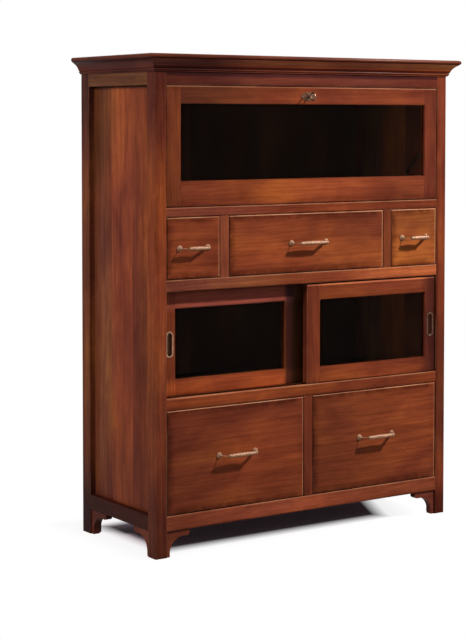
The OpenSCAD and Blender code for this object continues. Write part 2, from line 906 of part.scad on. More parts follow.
module flap_pivot_pins() {
    washer_r = 5;
    washer_t = flap_gap - 0.5;
    color(brass) placed() both_sides()
        translate([-inner_w, pivot_y, pivot_z]) rotate([0, 90, 0]) {
            translate([0, 0, -pivot_reach + joint_fit])
                cylinder(h = 2 * pivot_reach + flap_gap - joint_fit, r = pivot_r);
            cylinder(h = washer_t, r = washer_r);
        }
}

// Ring of a quadrant stay in Y and Z, round the flap's pivot, made wider on each side by grow
module stay_ring(grow = 0) {
    difference() {
        circle(stay_r + stay_w / 2 + grow, $fn = 240);
        circle(stay_r - stay_w / 2 - grow, $fn = 240);
    }
}

// Half plane behind the line that leans from upright by angle
module behind(angle) {
    rotate(-angle) translate([0, -3 * stay_r]) square(6 * stay_r);
}

// The quadrant is screwed to the flap's stile and turns with it through the guide
module flap_stays() {
    foot_z = stay_r - foot_plate_h / 2;
    color(brass) placed() both_sides() {
        translate([-stay_x, pivot_y, pivot_z]) rotate([90, 0, 90]) linear_extrude(stay_t) {
            difference() {
                stay_ring();
                translate([flap_back - pivot_y - 4 * stay_r, -2 * stay_r])
                    square(4 * stay_r);
                behind(stay_end);
            }
            difference() {
                stay_ring(nib_w);
                translate([-4 * stay_r, -2 * stay_r]) square(4 * stay_r);
                behind(stay_end);
                rotate(180) behind(stay_end - asin(nib_l / stay_r));
            }
        }
        block([-stay_x, flap_back, pivot_z + foot_z],
            [-stay_x + foot_plate_w, flap_back + foot_plate_t, pivot_z + foot_z + foot_plate_h]);
    }
}

module stay_guides() {
    z = pivot_z + stay_r * cos(guide_angle);
    color(brass) placed() both_sides() difference() {
        block([-inner_w, guide_y - guide_l / 2, z - stay_w / 2 - 5],
            [-stay_x + stay_t + 2.5, guide_y + guide_l / 2, z + stay_w / 2 + 5]);
        translate([-stay_x - stay_clear, pivot_y, pivot_z]) rotate([90, 0, 90])
            linear_extrude(stay_t + 2 * stay_clear) stay_ring(stay_clear);
    }
}

// Lock -----------------------------------------------------------------------------

strike_w = bolt_w + 24;
strike_margin = 3;

// Outside of the lock in the flap's top rail, made larger on each side by fit
module lock_body(fit = 0) {
    y0 = flap_inset + lock_y;
    open_back = fit > 0 ? cut : 0;
    block([-lock_w / 2 - fit, y0 - fit, key_z - lock_under - fit],
        [lock_w / 2 + fit, y0 + lock_t + fit + open_back, flap_top_z + (fit > 0 ? cut : 0)]);
    block([-selvedge_w / 2 - fit, y0 - fit, flap_top_z - selvedge_t - fit],
        [selvedge_w / 2 + fit, y0 + lock_t + fit + open_back, flap_top_z + (fit > 0 ? cut : 0)]);
}

// Keyhole through the wood or the plate: a round hole with a slot for the bit under it
module keyhole(y, depth, r) {
    slot_w = 3.2;
    translate([0, y, key_z]) along_y(depth) {
        circle(r);
        translate([-slot_w / 2, -bit_l - 0.6]) square([slot_w, bit_l]);
    }
}

module lock_case() {
    wall_y = flap_inset + lock_y;
    color(brass) placed() difference() {
        lock_body();
        block([-bolt_w / 2 - lock_fit, bolt_y - lock_fit, key_z - lock_under + 1],
            [bolt_w / 2 + lock_fit, bolt_y + bolt_t + lock_fit, flap_top_z + cut]);
        keyhole(wall_y - cut, bolt_y - wall_y + cut, shank_r + pivot_clear);
        translate([0, bolt_y, key_z]) rotate([-90, 0, 0])
            cylinder(h = bolt_t + 1.5, r = shank_r + pivot_clear);
    }
}

// The bolt: a head that rises out of the flap, and a tail whose notch the key's bit lifts
module lock_bolt() {
    bit_t = 2.2;
    tail_x = 4;
    notch_low = -1.21 * bit_l - bit_t / 2 - lock_fit;
    notch_high = -bit_l + bit_t / 2 + 0.3;
    color(brass) placed() difference() {
        union() {
            block([-bolt_w / 2, bolt_y, key_z + bolt_rise],
                [bolt_w / 2, bolt_y + bolt_t, flap_top_z]);
            block([tail_x, bolt_y, key_z - lock_under + 1.3],
                [bolt_w / 2, bolt_y + bolt_t, key_z + bolt_rise + cut]);
        }
        block([tail_x - cut, bolt_y - cut, key_z + notch_low],
            [bit_l + 1.5, bolt_y + bolt_t + cut, key_z + notch_high]);
    }
}

module strike_plate() {
    color(brass) placed() difference() {
        block([-strike_w / 2, bolt_y - strike_margin + lock_fit, z_flap_head],
            [strike_w / 2, bolt_y + bolt_t + strike_margin - lock_fit, z_flap_head + strike_t]);
        block([-bolt_w / 2 - 0.6, bolt_y - 0.6, z_flap_head - cut],
            [bolt_w / 2 + 0.6, bolt_y + bolt_t + 0.6, z_flap_head + strike_t + cut]);
    }
}

// Pointed oval between two arcs, wider than it is high
module pointed_oval(w, h) {
    r = (w * w + h * h) / (4 * h);
    intersection() {
        translate([0, r - h / 2]) circle(r, $fn = 180);
        translate([0, h / 2 - r]) circle(r, $fn = 180);
    }
}

module escutcheon() {
    plate_t = 1.5;
    color(brass) placed() difference() {
        union() {
            translate([0, flap_inset - plate_t, key_z]) along_y(plate_t)
                pointed_oval(plate_w, plate_h);
            translate([0, flap_inset - 2 * plate_t, key_z]) along_y(2 * plate_t) circle(9);
        }
        keyhole(flap_inset - 2 * plate_t - cut, 2 * (plate_t + cut), shank_r + 1);
    }
}

module key() {
    bow_r = 11;
    bow_bar_r = 2;
    bow_far = overhang - 1;
    shank_end = bolt_y + bolt_t + 1.3;
    bow_y = -bow_far + bow_r + bow_bar_r;
    color(brass) placed() translate([0, 0, key_z]) {
        translate([0, bow_y + bow_r, 0]) rotate([-90, 0, 0])
            cylinder(h = shank_end - bow_y - bow_r, r = shank_r);
        translate([0, bow_y + bow_r + 2, 0]) rotate([-90, 0, 0]) cylinder(h = 2, r = shank_r + 1.3);
        translate([0, bow_y, 0]) rotate([0, 90, 0]) rotate_extrude()
            translate([bow_r, 0]) circle(bow_bar_r);
        block([-1.1, bolt_y + 0.3, -bit_l], [1.1, bolt_y + bolt_t - 0.3, 0]);
    }
}

// Handles --------------------------------------------------------------------------

// Bow handle on the face of a drawer front at y = 0, with its screws through the wood
module bow_handle(pitch) {
    bar_half = pitch / 2 - handle_lean;
    rise = handle_reach - rosette_t;
    leg_l = norm([handle_lean, rise]);
    leg_angle = atan(handle_lean / rise);
    screw_r = 2;
    head_r = 4;
    color(brass) {
        for (side = [-1, 1]) translate([side * pitch / 2, 0, 0]) {
            rotate([90, 0, 0]) rosette();
            translate([0, -rosette_t + 1, 0]) rotate([0, 0, -side * leg_angle])
                rotate([90, 0, 0]) cylinder(h = leg_l - 1, r1 = 3.4, r2 = bar_end_r);
            rotate([-90, 0, 0]) cylinder(h = front_t + 1, r = screw_r);
            translate([0, front_t, 0]) rotate([-90, 0, 0]) cylinder(h = 2, r = head_r);
        }
        for (side = [-1, 1]) translate([side * bar_half, -handle_reach, 0]) sphere(r = bar_end_r + 1.2);
        translate([0, -handle_reach, 0]) rotate([0, 90, 0]) rotate_extrude() spindle(bar_half);
    }
}

// Round foot of a handle, turned, with a small step
module rosette() {
    rotate_extrude() {
        square([rosette_r, rosette_t / 2]);
        square([rosette_r - 2, rosette_t]);
        translate([rosette_r - 2, rosette_t / 2]) circle(1.4);
    }
}

// Half section of the bar, which swells towards its middle
module spindle(half) {
    steps = 7;
    swell = bar_mid_r - bar_end_r;
    polygon(concat([[0, -half]],
        [for (i = [-steps:steps]) [bar_end_r + swell * cos(90 * i / steps), half * i / steps]],
        [[0, half]]));
}

// Drawers --------------------------------------------------------------------------

// Tails of a left drawer side in Y and Z, in front of the box, or their sockets when fit is above 0
module tails(box_h, fit = 0) {
    slope = 2;
    count = floor((box_h - 10) / (tail_h + 14));
    step = box_h / count;
    for (i = [0:count - 1]) {
        z = step * (i + 0.5);
        polygon([
            [lap_t - fit, z - tail_h / 2 - fit], [front_t + cut, z - tail_h / 2 + slope - fit],
            [front_t + cut, z + tail_h / 2 - slope + fit], [lap_t - fit, z + tail_h / 2 + fit]]);
    }
}

// A drawer, drawn with the middle of its front's lower edge at the middle of the opening's sill.
// Its modules take the opening's width and height and the height of the box.
module drawer_tails(opening_w, box_h, fit = 0) {
    x = opening_w / 2 - run_gap;
    both_sides() translate([-x - fit, 0, lift_gap]) rotate([90, 0, 90])
        linear_extrude(side_t + 2 * fit) tails(box_h, fit);
}

module bottom_field(opening_w, fit = 0) {
    reach = opening_w / 2 - run_gap - side_t / 2;
    z = lift_gap + 8;
    block([-reach - fit, front_t - 6 - fit, z - fit],
        [reach + fit, front_t + box_l + fit, z + bottom_t + fit]);
}

module drawer_front(opening_w, opening_h, box_h, pitch, rise) {
    gap = drawer_gap;
    color(wood) difference() {
        translate([0, 0, gap])
            soft_front(opening_w - 2 * gap, front_t, opening_h - 2 * gap, front_round);
        drawer_tails(opening_w, box_h, joint_fit / 2);
        bottom_field(opening_w, joint_fit);
        for (side = [-1, 1]) translate([side * pitch / 2, -cut, opening_h / 2 + rise])
            rotate([-90, 0, 0]) cylinder(h = front_t + 2 * cut, r = 2.2);
    }
}

module drawer_box(opening_w, box_h) {
    x = opening_w / 2 - run_gap;
    back_end = front_t + box_l;
    housing = side_t / 3;
    color(pale_wood) {
        difference() {
            union() {
                both_sides() block([-x, front_t, lift_gap], [-x + side_t, back_end, lift_gap + box_h]);
                drawer_tails(opening_w, box_h);
            }
            bottom_field(opening_w, joint_fit);
            drawer_back(x - side_t + housing + joint_fit, box_h + cut, joint_fit);
        }
        drawer_back(x - side_t + housing, box_h, 0);
        bottom_field(opening_w);
    }
}

// Back of a drawer box, over its bottom, held in housings in the sides
module drawer_back(reach, box_h, fit) {
    y = front_t + box_l - 2 * side_t;
    block([-reach, y - fit, lift_gap + 8 + bottom_t + joint_fit - fit],
        [reach, y + side_t + fit, lift_gap + box_h]);
}

module drawer_handle(opening_h, pitch, rise) {
    translate([0, 0, opening_h / 2 + rise]) bow_handle(pitch);
}

box_l = back_y - behind_gap - front_t;
upper_box_h = shelf_under - z_upper_sill - lift_gap - upper_over_gap;
lower_box_h = z_door_sill - board_t - z_sill - lift_gap - lower_over_gap;
middle_opening_w = 2 * (inner_w - small_opening_w - upper_divider_w);
lower_opening_w = inner_w - lower_divider_w / 2;
small_x = inner_w - small_opening_w / 2;
lower_x = inner_w - lower_opening_w / 2;

// Puts a drawer's piece at one of the five openings
module at_opening(x, z) {
    placed() translate([x, 0, z]) children();
}

module small_front() {
    drawer_front(small_opening_w, upper_opening_h, upper_box_h, small_pitch, 0);
}

module lower_front() {
    drawer_front(lower_opening_w, lower_opening_h, lower_box_h, large_pitch, lower_handle_rise);
}

// What is drawn --------------------------------------------------------------------

front_post();  // post_front_left
mirror([1, 0, 0]) front_post();  // post_front_right
rear_post();  // post_rear_left
mirror([1, 0, 0]) rear_post();  // post_rear_right
side_rails();
side_panel();  // side_panel_left
mirror([1, 0, 0]) side_panel();  // side_panel_right
top_rail();
flap_sill_rail();
door_head_rail();
door_sill_rail();
bottom_rail();
back_rails();
back_panel();
upper_dividers();
lower_divider();
flap_shelf();
upper_drawer_floor();
door_floor();
bottom_floor();
top_board();
cornice_front();
cornice_side();  // cornice_left
mirror([1, 0, 0]) cornice_side();  // cornice_right
foot_brackets();
door_tracks();
flap_pivot_pins();
stay_guides();
strike_plate();
flap_stiles();
flap_rails();
flap_beads();
flap_glass();
flap_stays();
lock_case();
escutcheon();
key();
lock_bolt();
left_door_frame();
left_door_glass();
left_door_pull();
right_door_frame();
right_door_glass();
right_door_pull();
at_opening(-small_x, z_upper_sill) small_front();  // drawer_upper_left_front
at_opening(-small_x, z_upper_sill) drawer_box(small_opening_w, upper_box_h);  // drawer_upper_left_box
at_opening(-small_x, z_upper_sill) drawer_handle(upper_opening_h, small_pitch, 0);  // drawer_upper_left_handle
at_opening(0, z_upper_sill)  // drawer_upper_middle_front
        drawer_front(middle_opening_w, upper_opening_h, upper_box_h, large_pitch, 0);
at_opening(0, z_upper_sill) drawer_box(middle_opening_w, upper_box_h);  // drawer_upper_middle_box
at_opening(0, z_upper_sill) drawer_handle(upper_opening_h, large_pitch, 0);  // drawer_upper_middle_handle
at_opening(small_x, z_upper_sill) small_front();  // drawer_upper_right_front
at_opening(small_x, z_upper_sill) drawer_box(small_opening_w, upper_box_h);  // drawer_upper_right_box
at_opening(small_x, z_upper_sill) drawer_handle(upper_opening_h, small_pitch, 0);  // drawer_upper_right_handle
at_opening(-lower_x, z_sill) lower_front();  // drawer_lower_left_front
at_opening(-lower_x, z_sill) drawer_box(lower_opening_w, lower_box_h);  // drawer_lower_left_box
at_opening(-lower_x, z_sill)  // drawer_lower_left_handle
        drawer_handle(lower_opening_h, large_pitch, lower_handle_rise);
at_opening(lower_x, z_sill) lower_front();  // drawer_lower_right_front
at_opening(lower_x, z_sill) drawer_box(lower_opening_w, lower_box_h);  // drawer_lower_right_box
at_opening(lower_x, z_sill)  // drawer_lower_right_handle
        drawer_handle(lower_opening_h, large_pitch, lower_handle_rise);
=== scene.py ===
import json
import math
import bpy
from mathutils import Matrix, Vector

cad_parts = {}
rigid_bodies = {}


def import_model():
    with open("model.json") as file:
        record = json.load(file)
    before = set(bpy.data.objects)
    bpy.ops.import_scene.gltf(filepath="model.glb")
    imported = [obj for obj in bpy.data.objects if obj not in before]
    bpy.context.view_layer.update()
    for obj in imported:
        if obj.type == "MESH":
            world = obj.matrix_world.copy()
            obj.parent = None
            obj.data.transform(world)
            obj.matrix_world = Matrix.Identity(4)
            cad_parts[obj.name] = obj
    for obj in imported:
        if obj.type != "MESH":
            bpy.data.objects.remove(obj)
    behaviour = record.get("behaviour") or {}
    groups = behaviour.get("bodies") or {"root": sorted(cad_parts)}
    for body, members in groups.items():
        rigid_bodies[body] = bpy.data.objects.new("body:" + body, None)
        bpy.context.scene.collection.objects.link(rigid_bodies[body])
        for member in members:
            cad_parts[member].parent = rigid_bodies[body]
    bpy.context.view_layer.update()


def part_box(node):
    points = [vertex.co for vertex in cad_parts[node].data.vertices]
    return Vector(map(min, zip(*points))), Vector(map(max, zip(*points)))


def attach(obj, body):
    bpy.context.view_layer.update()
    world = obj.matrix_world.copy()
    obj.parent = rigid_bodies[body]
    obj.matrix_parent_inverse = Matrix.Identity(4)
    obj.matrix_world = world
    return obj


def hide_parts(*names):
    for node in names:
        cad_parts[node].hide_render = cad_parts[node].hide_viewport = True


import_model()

# Studio: a pale floor that fades to white, a key lamp high on the right, and a wide soft fill
# from the left, as in a catalogue picture. The camera stands a little below the cornice.
CAMERA_PLACE = (-3.0871, -4.3677, 1.2573)
CAMERA_TURN = 33.989  # degrees to the right of the cabinet's own depth
CAMERA_DIP = 2.775  # degrees below level
LENS, SENSOR_HEIGHT = 96.708, 36  # millimetres
LENS_SHIFT = -0.18  # how far the picture is moved down, as a share of its height
KEY_LIGHT, FILL_LIGHT = 178, 100  # watts
AMBIENT_LIGHT = 0.19
FLOOR_LIT, FLOOR_SEEN = (0.22, 0.22, 0.22, 1), (0.95, 0.72, 0.84, 1)
# The shade lies under the cabinet, set in from its outline, and fades to the white of the
# backdrop. Each side of it is a line on the floor: its outward way in X and Y, and its offset.
SHADE_SIDES = ((-1, 0, 0.455), (1, -0.5, 0.385), (0, -1, 0.10), (0, 1, 0.235))
SHADE_FADE = ((-0.01, 0.0), (0.05, 0.86), (0.16, 1.0))  # metres past the sides, share of white
FADE_START, FADE_END = -0.05, 0.20

scene = bpy.context.scene
scene.view_settings.view_transform = "Standard"
camera_data = bpy.data.cameras.new("camera")
camera = bpy.data.objects.new("camera", camera_data)
scene.collection.objects.link(camera)
scene.camera = camera
camera_data.sensor_fit = "VERTICAL"
camera_data.sensor_height = SENSOR_HEIGHT
camera_data.lens = LENS
camera_data.shift_y = LENS_SHIFT
camera_data.clip_end = 60
camera.location = CAMERA_PLACE
camera.rotation_euler = (math.radians(90 - CAMERA_DIP), 0, math.radians(-CAMERA_TURN))


def lamp(name, place, aim, watts, colour, size):
    data = bpy.data.lights.new(name, "AREA")
    data.energy = watts
    data.color = colour
    data.shape = "SQUARE"
    data.size = size
    lamp_object = bpy.data.objects.new(name, data)
    scene.collection.objects.link(lamp_object)
    lamp_object.location = place
    x, y, z = (aim[i] - place[i] for i in range(3))
    lamp_object.rotation_euler = (math.atan2(math.hypot(x, y), -z), 0, math.atan2(y, x) - math.pi / 2)


lamp("key_lamp", (1.90, -1.75, 2.75), (0, -0.2, 0.8), KEY_LIGHT, (1.0, 0.96, 0.90), 0.20)
lamp("fill_lamp", (-3.3, -0.7, 2.5), (-0.3, 0, 0.9), FILL_LIGHT, (1.0, 0.97, 0.94), 1.0)


def feed(tree, socket, value):
    # Links a socket to another node's output, or sets it to a plain value
    if isinstance(value, bpy.types.NodeSocket):
        tree.links.new(value, socket)
    else:
        socket.default_value = value


def calc(tree, operation, *values):
    node = tree.nodes.new("ShaderNodeMath")
    node.operation = operation
    for socket, value in zip(node.inputs, values):
        feed(tree, socket, value)
    return node.outputs[0]


def vector_calc(tree, operation, *values):
    node = tree.nodes.new("ShaderNodeVectorMath")
    node.operation = operation
    for socket, value in zip(node.inputs, values):
        feed(tree, socket, value)
    return node.outputs["Value" if operation in ("DOT_PRODUCT", "LENGTH") else "Vector"]


def mixed(tree, blend, amount, a, b):
    node = tree.nodes.new("ShaderNodeMix")
    node.data_type = "RGBA"
    node.blend_type = blend
    for socket, value in ((node.inputs["Factor"], amount), (node.inputs[6], a), (node.inputs[7], b)):
        feed(tree, socket, value)
    return node.outputs[2]


def ramp(tree, value, stops):
    node = tree.nodes.new("ShaderNodeValToRGB")
    band = node.color_ramp
    while len(band.elements) < len(stops):
        band.elements.new(0.5)
    for element, (place, colour) in zip(band.elements, stops):
        element.position = place
        element.color = (*colour, 1)
    tree.links.new(value, node.inputs[0])
    return node.outputs[0]


def grey(value):
    return (value, value, value)


def blend_shaders(tree, share, first, second):
    node = tree.nodes.new("ShaderNodeMixShader")
    for socket, value in zip(node.inputs, (share, first, second)):
        tree.links.new(value, socket)
    return node.outputs[0]


def shown_rays(tree):
    # 1 where a ray comes from the camera, a reflection or a pane, which all see the pale backdrop
    path = tree.nodes.new("ShaderNodeLightPath").outputs
    seen = calc(tree, "MAXIMUM", path["Is Camera Ray"], path["Is Glossy Ray"])
    return calc(tree, "MAXIMUM", seen, path["Is Transmission Ray"])


def plain_sky(tree, colour, light):
    node = tree.nodes.new("ShaderNodeBackground")
    node.inputs["Color"].default_value = colour
    node.inputs["Strength"].default_value = light
    return node.outputs[0]


world = bpy.data.worlds.new("studio")
scene.world = world
world.use_nodes = True
sky = world.node_tree
sky.nodes.clear()
ambient = plain_sky(sky, (0.97, 0.98, 1.0, 1), AMBIENT_LIGHT)
backdrop = plain_sky(sky, (1, 1, 1, 1), 1.0)
sky_out = sky.nodes.new("ShaderNodeOutputWorld")
sky.links.new(blend_shaders(sky, shown_rays(sky), ambient, backdrop), sky_out.inputs["Surface"])


def past_side(tree, place, x_way, y_way, offset):
    # How far a point of the floor lies past a straight line, in metres
    return calc(tree, "SUBTRACT", vector_calc(tree, "DOT_PRODUCT", place, (x_way, y_way, 0)), offset)


def painted_floor():
    material = bpy.data.materials.new("floor_paint")
    material.use_nodes = True
    tree = material.node_tree
    tree.nodes.clear()
    shown = shown_rays(tree)
    paint = tree.nodes.new("ShaderNodeBsdfDiffuse")
    tree.links.new(mixed(tree, "MIX", shown, FLOOR_LIT, FLOOR_SEEN), paint.inputs["Color"])
    place = tree.nodes.new("ShaderNodeTexCoord").outputs["Object"]
    gone = past_side(tree, place, *SHADE_SIDES[0])
    for side in SHADE_SIDES[1:]:
        gone = calc(tree, "MAXIMUM", gone, past_side(tree, place, *side))
    fade_reach = FADE_END - FADE_START
    fade = ramp(tree, calc(tree, "MULTIPLY_ADD", gone, 1 / fade_reach, -FADE_START / fade_reach),
                [((past - FADE_START) / fade_reach, grey(share)) for past, share in SHADE_FADE])
    white = tree.nodes.new("ShaderNodeEmission")
    white.inputs["Strength"].default_value = 1.0
    paint_out = tree.nodes.new("ShaderNodeOutputMaterial")
    blend = blend_shaders(tree, calc(tree, "MULTIPLY", fade, shown), paint.outputs[0], white.outputs[0])
    tree.links.new(blend, paint_out.inputs["Surface"])
    return material


bpy.ops.mesh.primitive_plane_add(size=14, location=(0, 0, 0))
floor = bpy.context.object
floor.name = "floor"
floor.data.materials.append(painted_floor())


# Corner posts: four legs of red-brown stained cherry that run from the floor to the cornice,
# with the grain upright. They are rubbed smooth, glazed and given painted shade at the arrises, and
# varnished.
# The pale colour serves both the rubbed arrises and the painted highlights along the lit arrises
CHERRY = dict(dark=(0.105, 0.0215, 0.0118), middle=(0.164, 0.0345, 0.0148), light=(0.228, 0.0560, 0.0165),
              wear_and_highlight=(0.46, 0.20, 0.105), gloss=0.34, coat=0.03)
# How much each layer of the grain shows, and how it changes the stain from its lows to its highs
GRAIN_LAYERS = (
    ("Mottle", 1.0, ((0.30, (0.80, 0.76, 0.82)), (0.50, grey(1.0)), (0.68, (1.20, 1.28, 1.10)))),
    ("Streaks", 0.62, ((0.30, (0.66, 0.60, 0.56)), (0.50, (0.98, 0.97, 0.96)), (0.70, (1.22, 1.26, 1.22)))),
    ("Fine", 0.6, ((0.32, (0.74, 0.70, 0.68)), (0.55, grey(1.04)), (0.70, (1.12, 1.14, 1.12)))),
    ("Figure", 0.5, ((0.0, grey(1.08)), (0.7, (0.94, 0.92, 0.92)), (0.96, (0.72, 0.66, 0.64)),
                     (1.0, grey(1.0)))),
    ("Pores", 0.7, ((0.30, (0.60, 0.55, 0.52)), (0.42, grey(1.0)))))
BOARD_TONES = (0.95, 1.12, 0.86, 1.04, 0.92, 1.15, 0.82, 1.0)
# Darker near the arrises, partly glazed and partly painted shade: the tint and its reach
GLAZE_AND_SHADE_TINT = (0.34, 0.26, 0.22, 1)
GLAZE_AND_SHADE_REACH = 0.030
# Painted shade: a dark line along a board's foot and, on a front, along both sides
PAINTED_SHADE_LINE_TINT = (0.30, 0.16, 0.10, 1)
PAINTED_SHADE_LINE_STRENGTH = 0.85  # how strong the dark line at a board's foot or side is
# Turns an object's axes so that the grain runs along X and a panel's width along Y
GRAIN_TURN = {"x": (0, 0, 0), "y": (0, 0, -90), "z": (0, 90, 0), "z, wide in x": (-90, 0, -90)}


def separate(tree, vector):
    node = tree.nodes.new("ShaderNodeSeparateXYZ")
    tree.links.new(vector, node.inputs[0])
    return node.outputs


def ranged(tree, value, low, high, to_low=0.0, to_high=1.0):
    node = tree.nodes.new("ShaderNodeMapRange")
    node.interpolation_type = "SMOOTHSTEP"
    for label, number in (("From Min", low), ("From Max", high), ("To Min", to_low), ("To Max", to_high)):
        node.inputs[label].default_value = number
    tree.links.new(value, node.inputs["Value"])
    return node.outputs["Result"]


def noise(tree, vector, scale, detail=2.0, rough=0.5, distortion=0.0):
    node = tree.nodes.new("ShaderNodeTexNoise")
    node.inputs["Scale"].default_value = scale
    node.inputs["Detail"].default_value = detail
    node.inputs["Roughness"].default_value = rough
    node.inputs["Distortion"].default_value = distortion
    tree.links.new(vector, node.inputs["Vector"])
    return node.outputs


def turned(tree, vector, degrees, shift=(0, 0, 0)):
    node = tree.nodes.new("ShaderNodeMapping")
    node.inputs["Location"].default_value = shift
    node.inputs["Rotation"].default_value = [math.radians(angle) for angle in degrees]
    tree.links.new(vector, node.inputs["Vector"])
    return node.outputs[0]


def new_group(name, inputs, outputs):
    group = bpy.data.node_groups.new(name, "ShaderNodeTree")
    for label, kind, value in inputs:
        socket = group.interface.new_socket(name=label, in_out="INPUT", socket_type=kind)
        if value is not None:
            socket.default_value = value
    for label in outputs:
        kind = "NodeSocketVector" if label == "Vector" else "NodeSocketFloat"
        group.interface.new_socket(name=label, in_out="OUTPUT", socket_type=kind)
    return group, group.nodes.new("NodeGroupInput").outputs, group.nodes.new("NodeGroupOutput").inputs


def use_group(tree, group, **inputs):
    node = tree.nodes.new("ShaderNodeGroup")
    node.node_tree = group
    for label, value in inputs.items():
        feed(tree, node.inputs[label.replace("_", " ")], value)
    return node.outputs


def wood_grain():
    # Grain that runs along X: growth rings cut at a slant, long streaks, and short dark pores
    group, entry, leave = new_group(
        "Wood grain",
        (("Vector", "NodeSocketVector", None), ("Ring Width", "NodeSocketFloat", 0.012)),
        ("Figure", "Streaks", "Fine", "Stain", "Mottle", "Pores"))
    vector = entry["Vector"]
    drift = noise(group, vector_calc(group, "MULTIPLY", vector, (0.5, 2.0, 2.0)), 2.4, 3)["Color"]
    centred = vector_calc(group, "SUBTRACT", drift, (0.5, 0.5, 0.5))
    rings = group.nodes.new("ShaderNodeTexWave")
    rings.wave_type = "RINGS"
    rings.rings_direction = "X"
    rings.wave_profile = "SAW"
    rings.inputs["Distortion"].default_value = 0.8
    rings.inputs["Detail"].default_value = 2
    rings.inputs["Detail Scale"].default_value = 1.5
    pushed = vector_calc(group, "MULTIPLY_ADD", centred, (0.0, 0.07, 0.07), vector)
    group.links.new(pushed, rings.inputs["Vector"])
    # Blender's wave has a period of pi / 10 at a scale of 1
    group.links.new(calc(group, "DIVIDE", math.pi / 10, entry["Ring Width"]), rings.inputs["Scale"])
    group.links.new(rings.outputs["Fac"], leave["Figure"])
    for label, stretch, scale, detail, rough, distortion in (
            ("Streaks", (1.0, 16.0, 16.0), 3.4, 3, 0.55, 0.4),
            ("Fine", (1.4, 48.0, 48.0), 5.0, 3, 0.60, 0.2),
            ("Stain", (0.7, 1.5, 1.5), 2.6, 2, 0.45, 0.3),
            ("Mottle", (2.0, 5.0, 5.0), 3.4, 3, 0.50, 0.6),
            ("Pores", (14.0, 300.0, 300.0), 3.0, 2, 0.60, 0.0)):
        stretched = vector_calc(group, "MULTIPLY", vector, stretch)
        group.links.new(noise(group, stretched, scale, detail, rough, distortion)["Fac"], leave[label])
    return group


def board_edges():
    # How far a point of a squared board is from its nearest long edge, in metres
    group, entry, leave = new_group(
        "Board edges",
        tuple((label, "NodeSocketVector", None) for label in ("Vector", "Low", "High")),
        ("To Edge",))
    from_low = vector_calc(group, "SUBTRACT", entry["Vector"], entry["Low"])
    from_high = vector_calc(group, "SUBTRACT", entry["High"], entry["Vector"])
    x, y, z = separate(group, vector_calc(group, "MINIMUM", from_low, from_high))
    middle = calc(group, "MAXIMUM", calc(group, "MINIMUM", x, y),
                  calc(group, "MINIMUM", calc(group, "MAXIMUM", x, y), z))
    group.links.new(middle, leave["To Edge"])
    return group


def glued_boards():
    # A broad panel is glued up from narrow boards: each has its own grain and its own tone
    group, entry, leave = new_group(
        "Glued boards",
        (("Vector", "NodeSocketVector", None), ("Start", "NodeSocketFloat", 0.0),
         ("Width", "NodeSocketFloat", 0.1)),
        ("Vector", "Number"))
    across = calc(group, "SUBTRACT", separate(group, entry["Vector"])["Y"], entry["Start"])
    number = calc(group, "FLOOR", calc(group, "DIVIDE", across, entry["Width"]))
    cut = group.nodes.new("ShaderNodeTexWhiteNoise")
    cut.noise_dimensions = "1D"
    group.links.new(number, cut.inputs["W"])
    shift = vector_calc(group, "MULTIPLY", cut.outputs["Color"], (3.0, 0.05, 0.05))
    group.links.new(vector_calc(group, "ADD", entry["Vector"], shift), leave["Vector"])
    group.links.new(number, leave["Number"])
    return group


WOOD_GRAIN, BOARD_EDGES, GLUED_BOARDS = wood_grain(), board_edges(), glued_boards()


def strength(value):
    # A stronger or weaker stain or painted light, as one number or as red, green and blue; blue changes
    # least
    return (*value, 1) if isinstance(value, tuple) else (value, value, math.sqrt(value), 1)


def stain_and_painted_light(tree, where, colour, patches):
    # A patch of other stain or of painted light or shade has a middle, a reach in metres along X, Y and Z,
    # in which 2 or 9 takes in the whole piece, and a strength. It is even inside and fades from a third out.
    for middle, reach, value in patches:
        offset = vector_calc(tree, "DIVIDE", vector_calc(tree, "SUBTRACT", where, middle), reach)
        inside = ranged(tree, vector_calc(tree, "LENGTH", offset), 0.35, 1.0, 1.0, 0.0)
        colour = mixed(tree, "MULTIPLY", inside, colour, strength(value))
    return colour


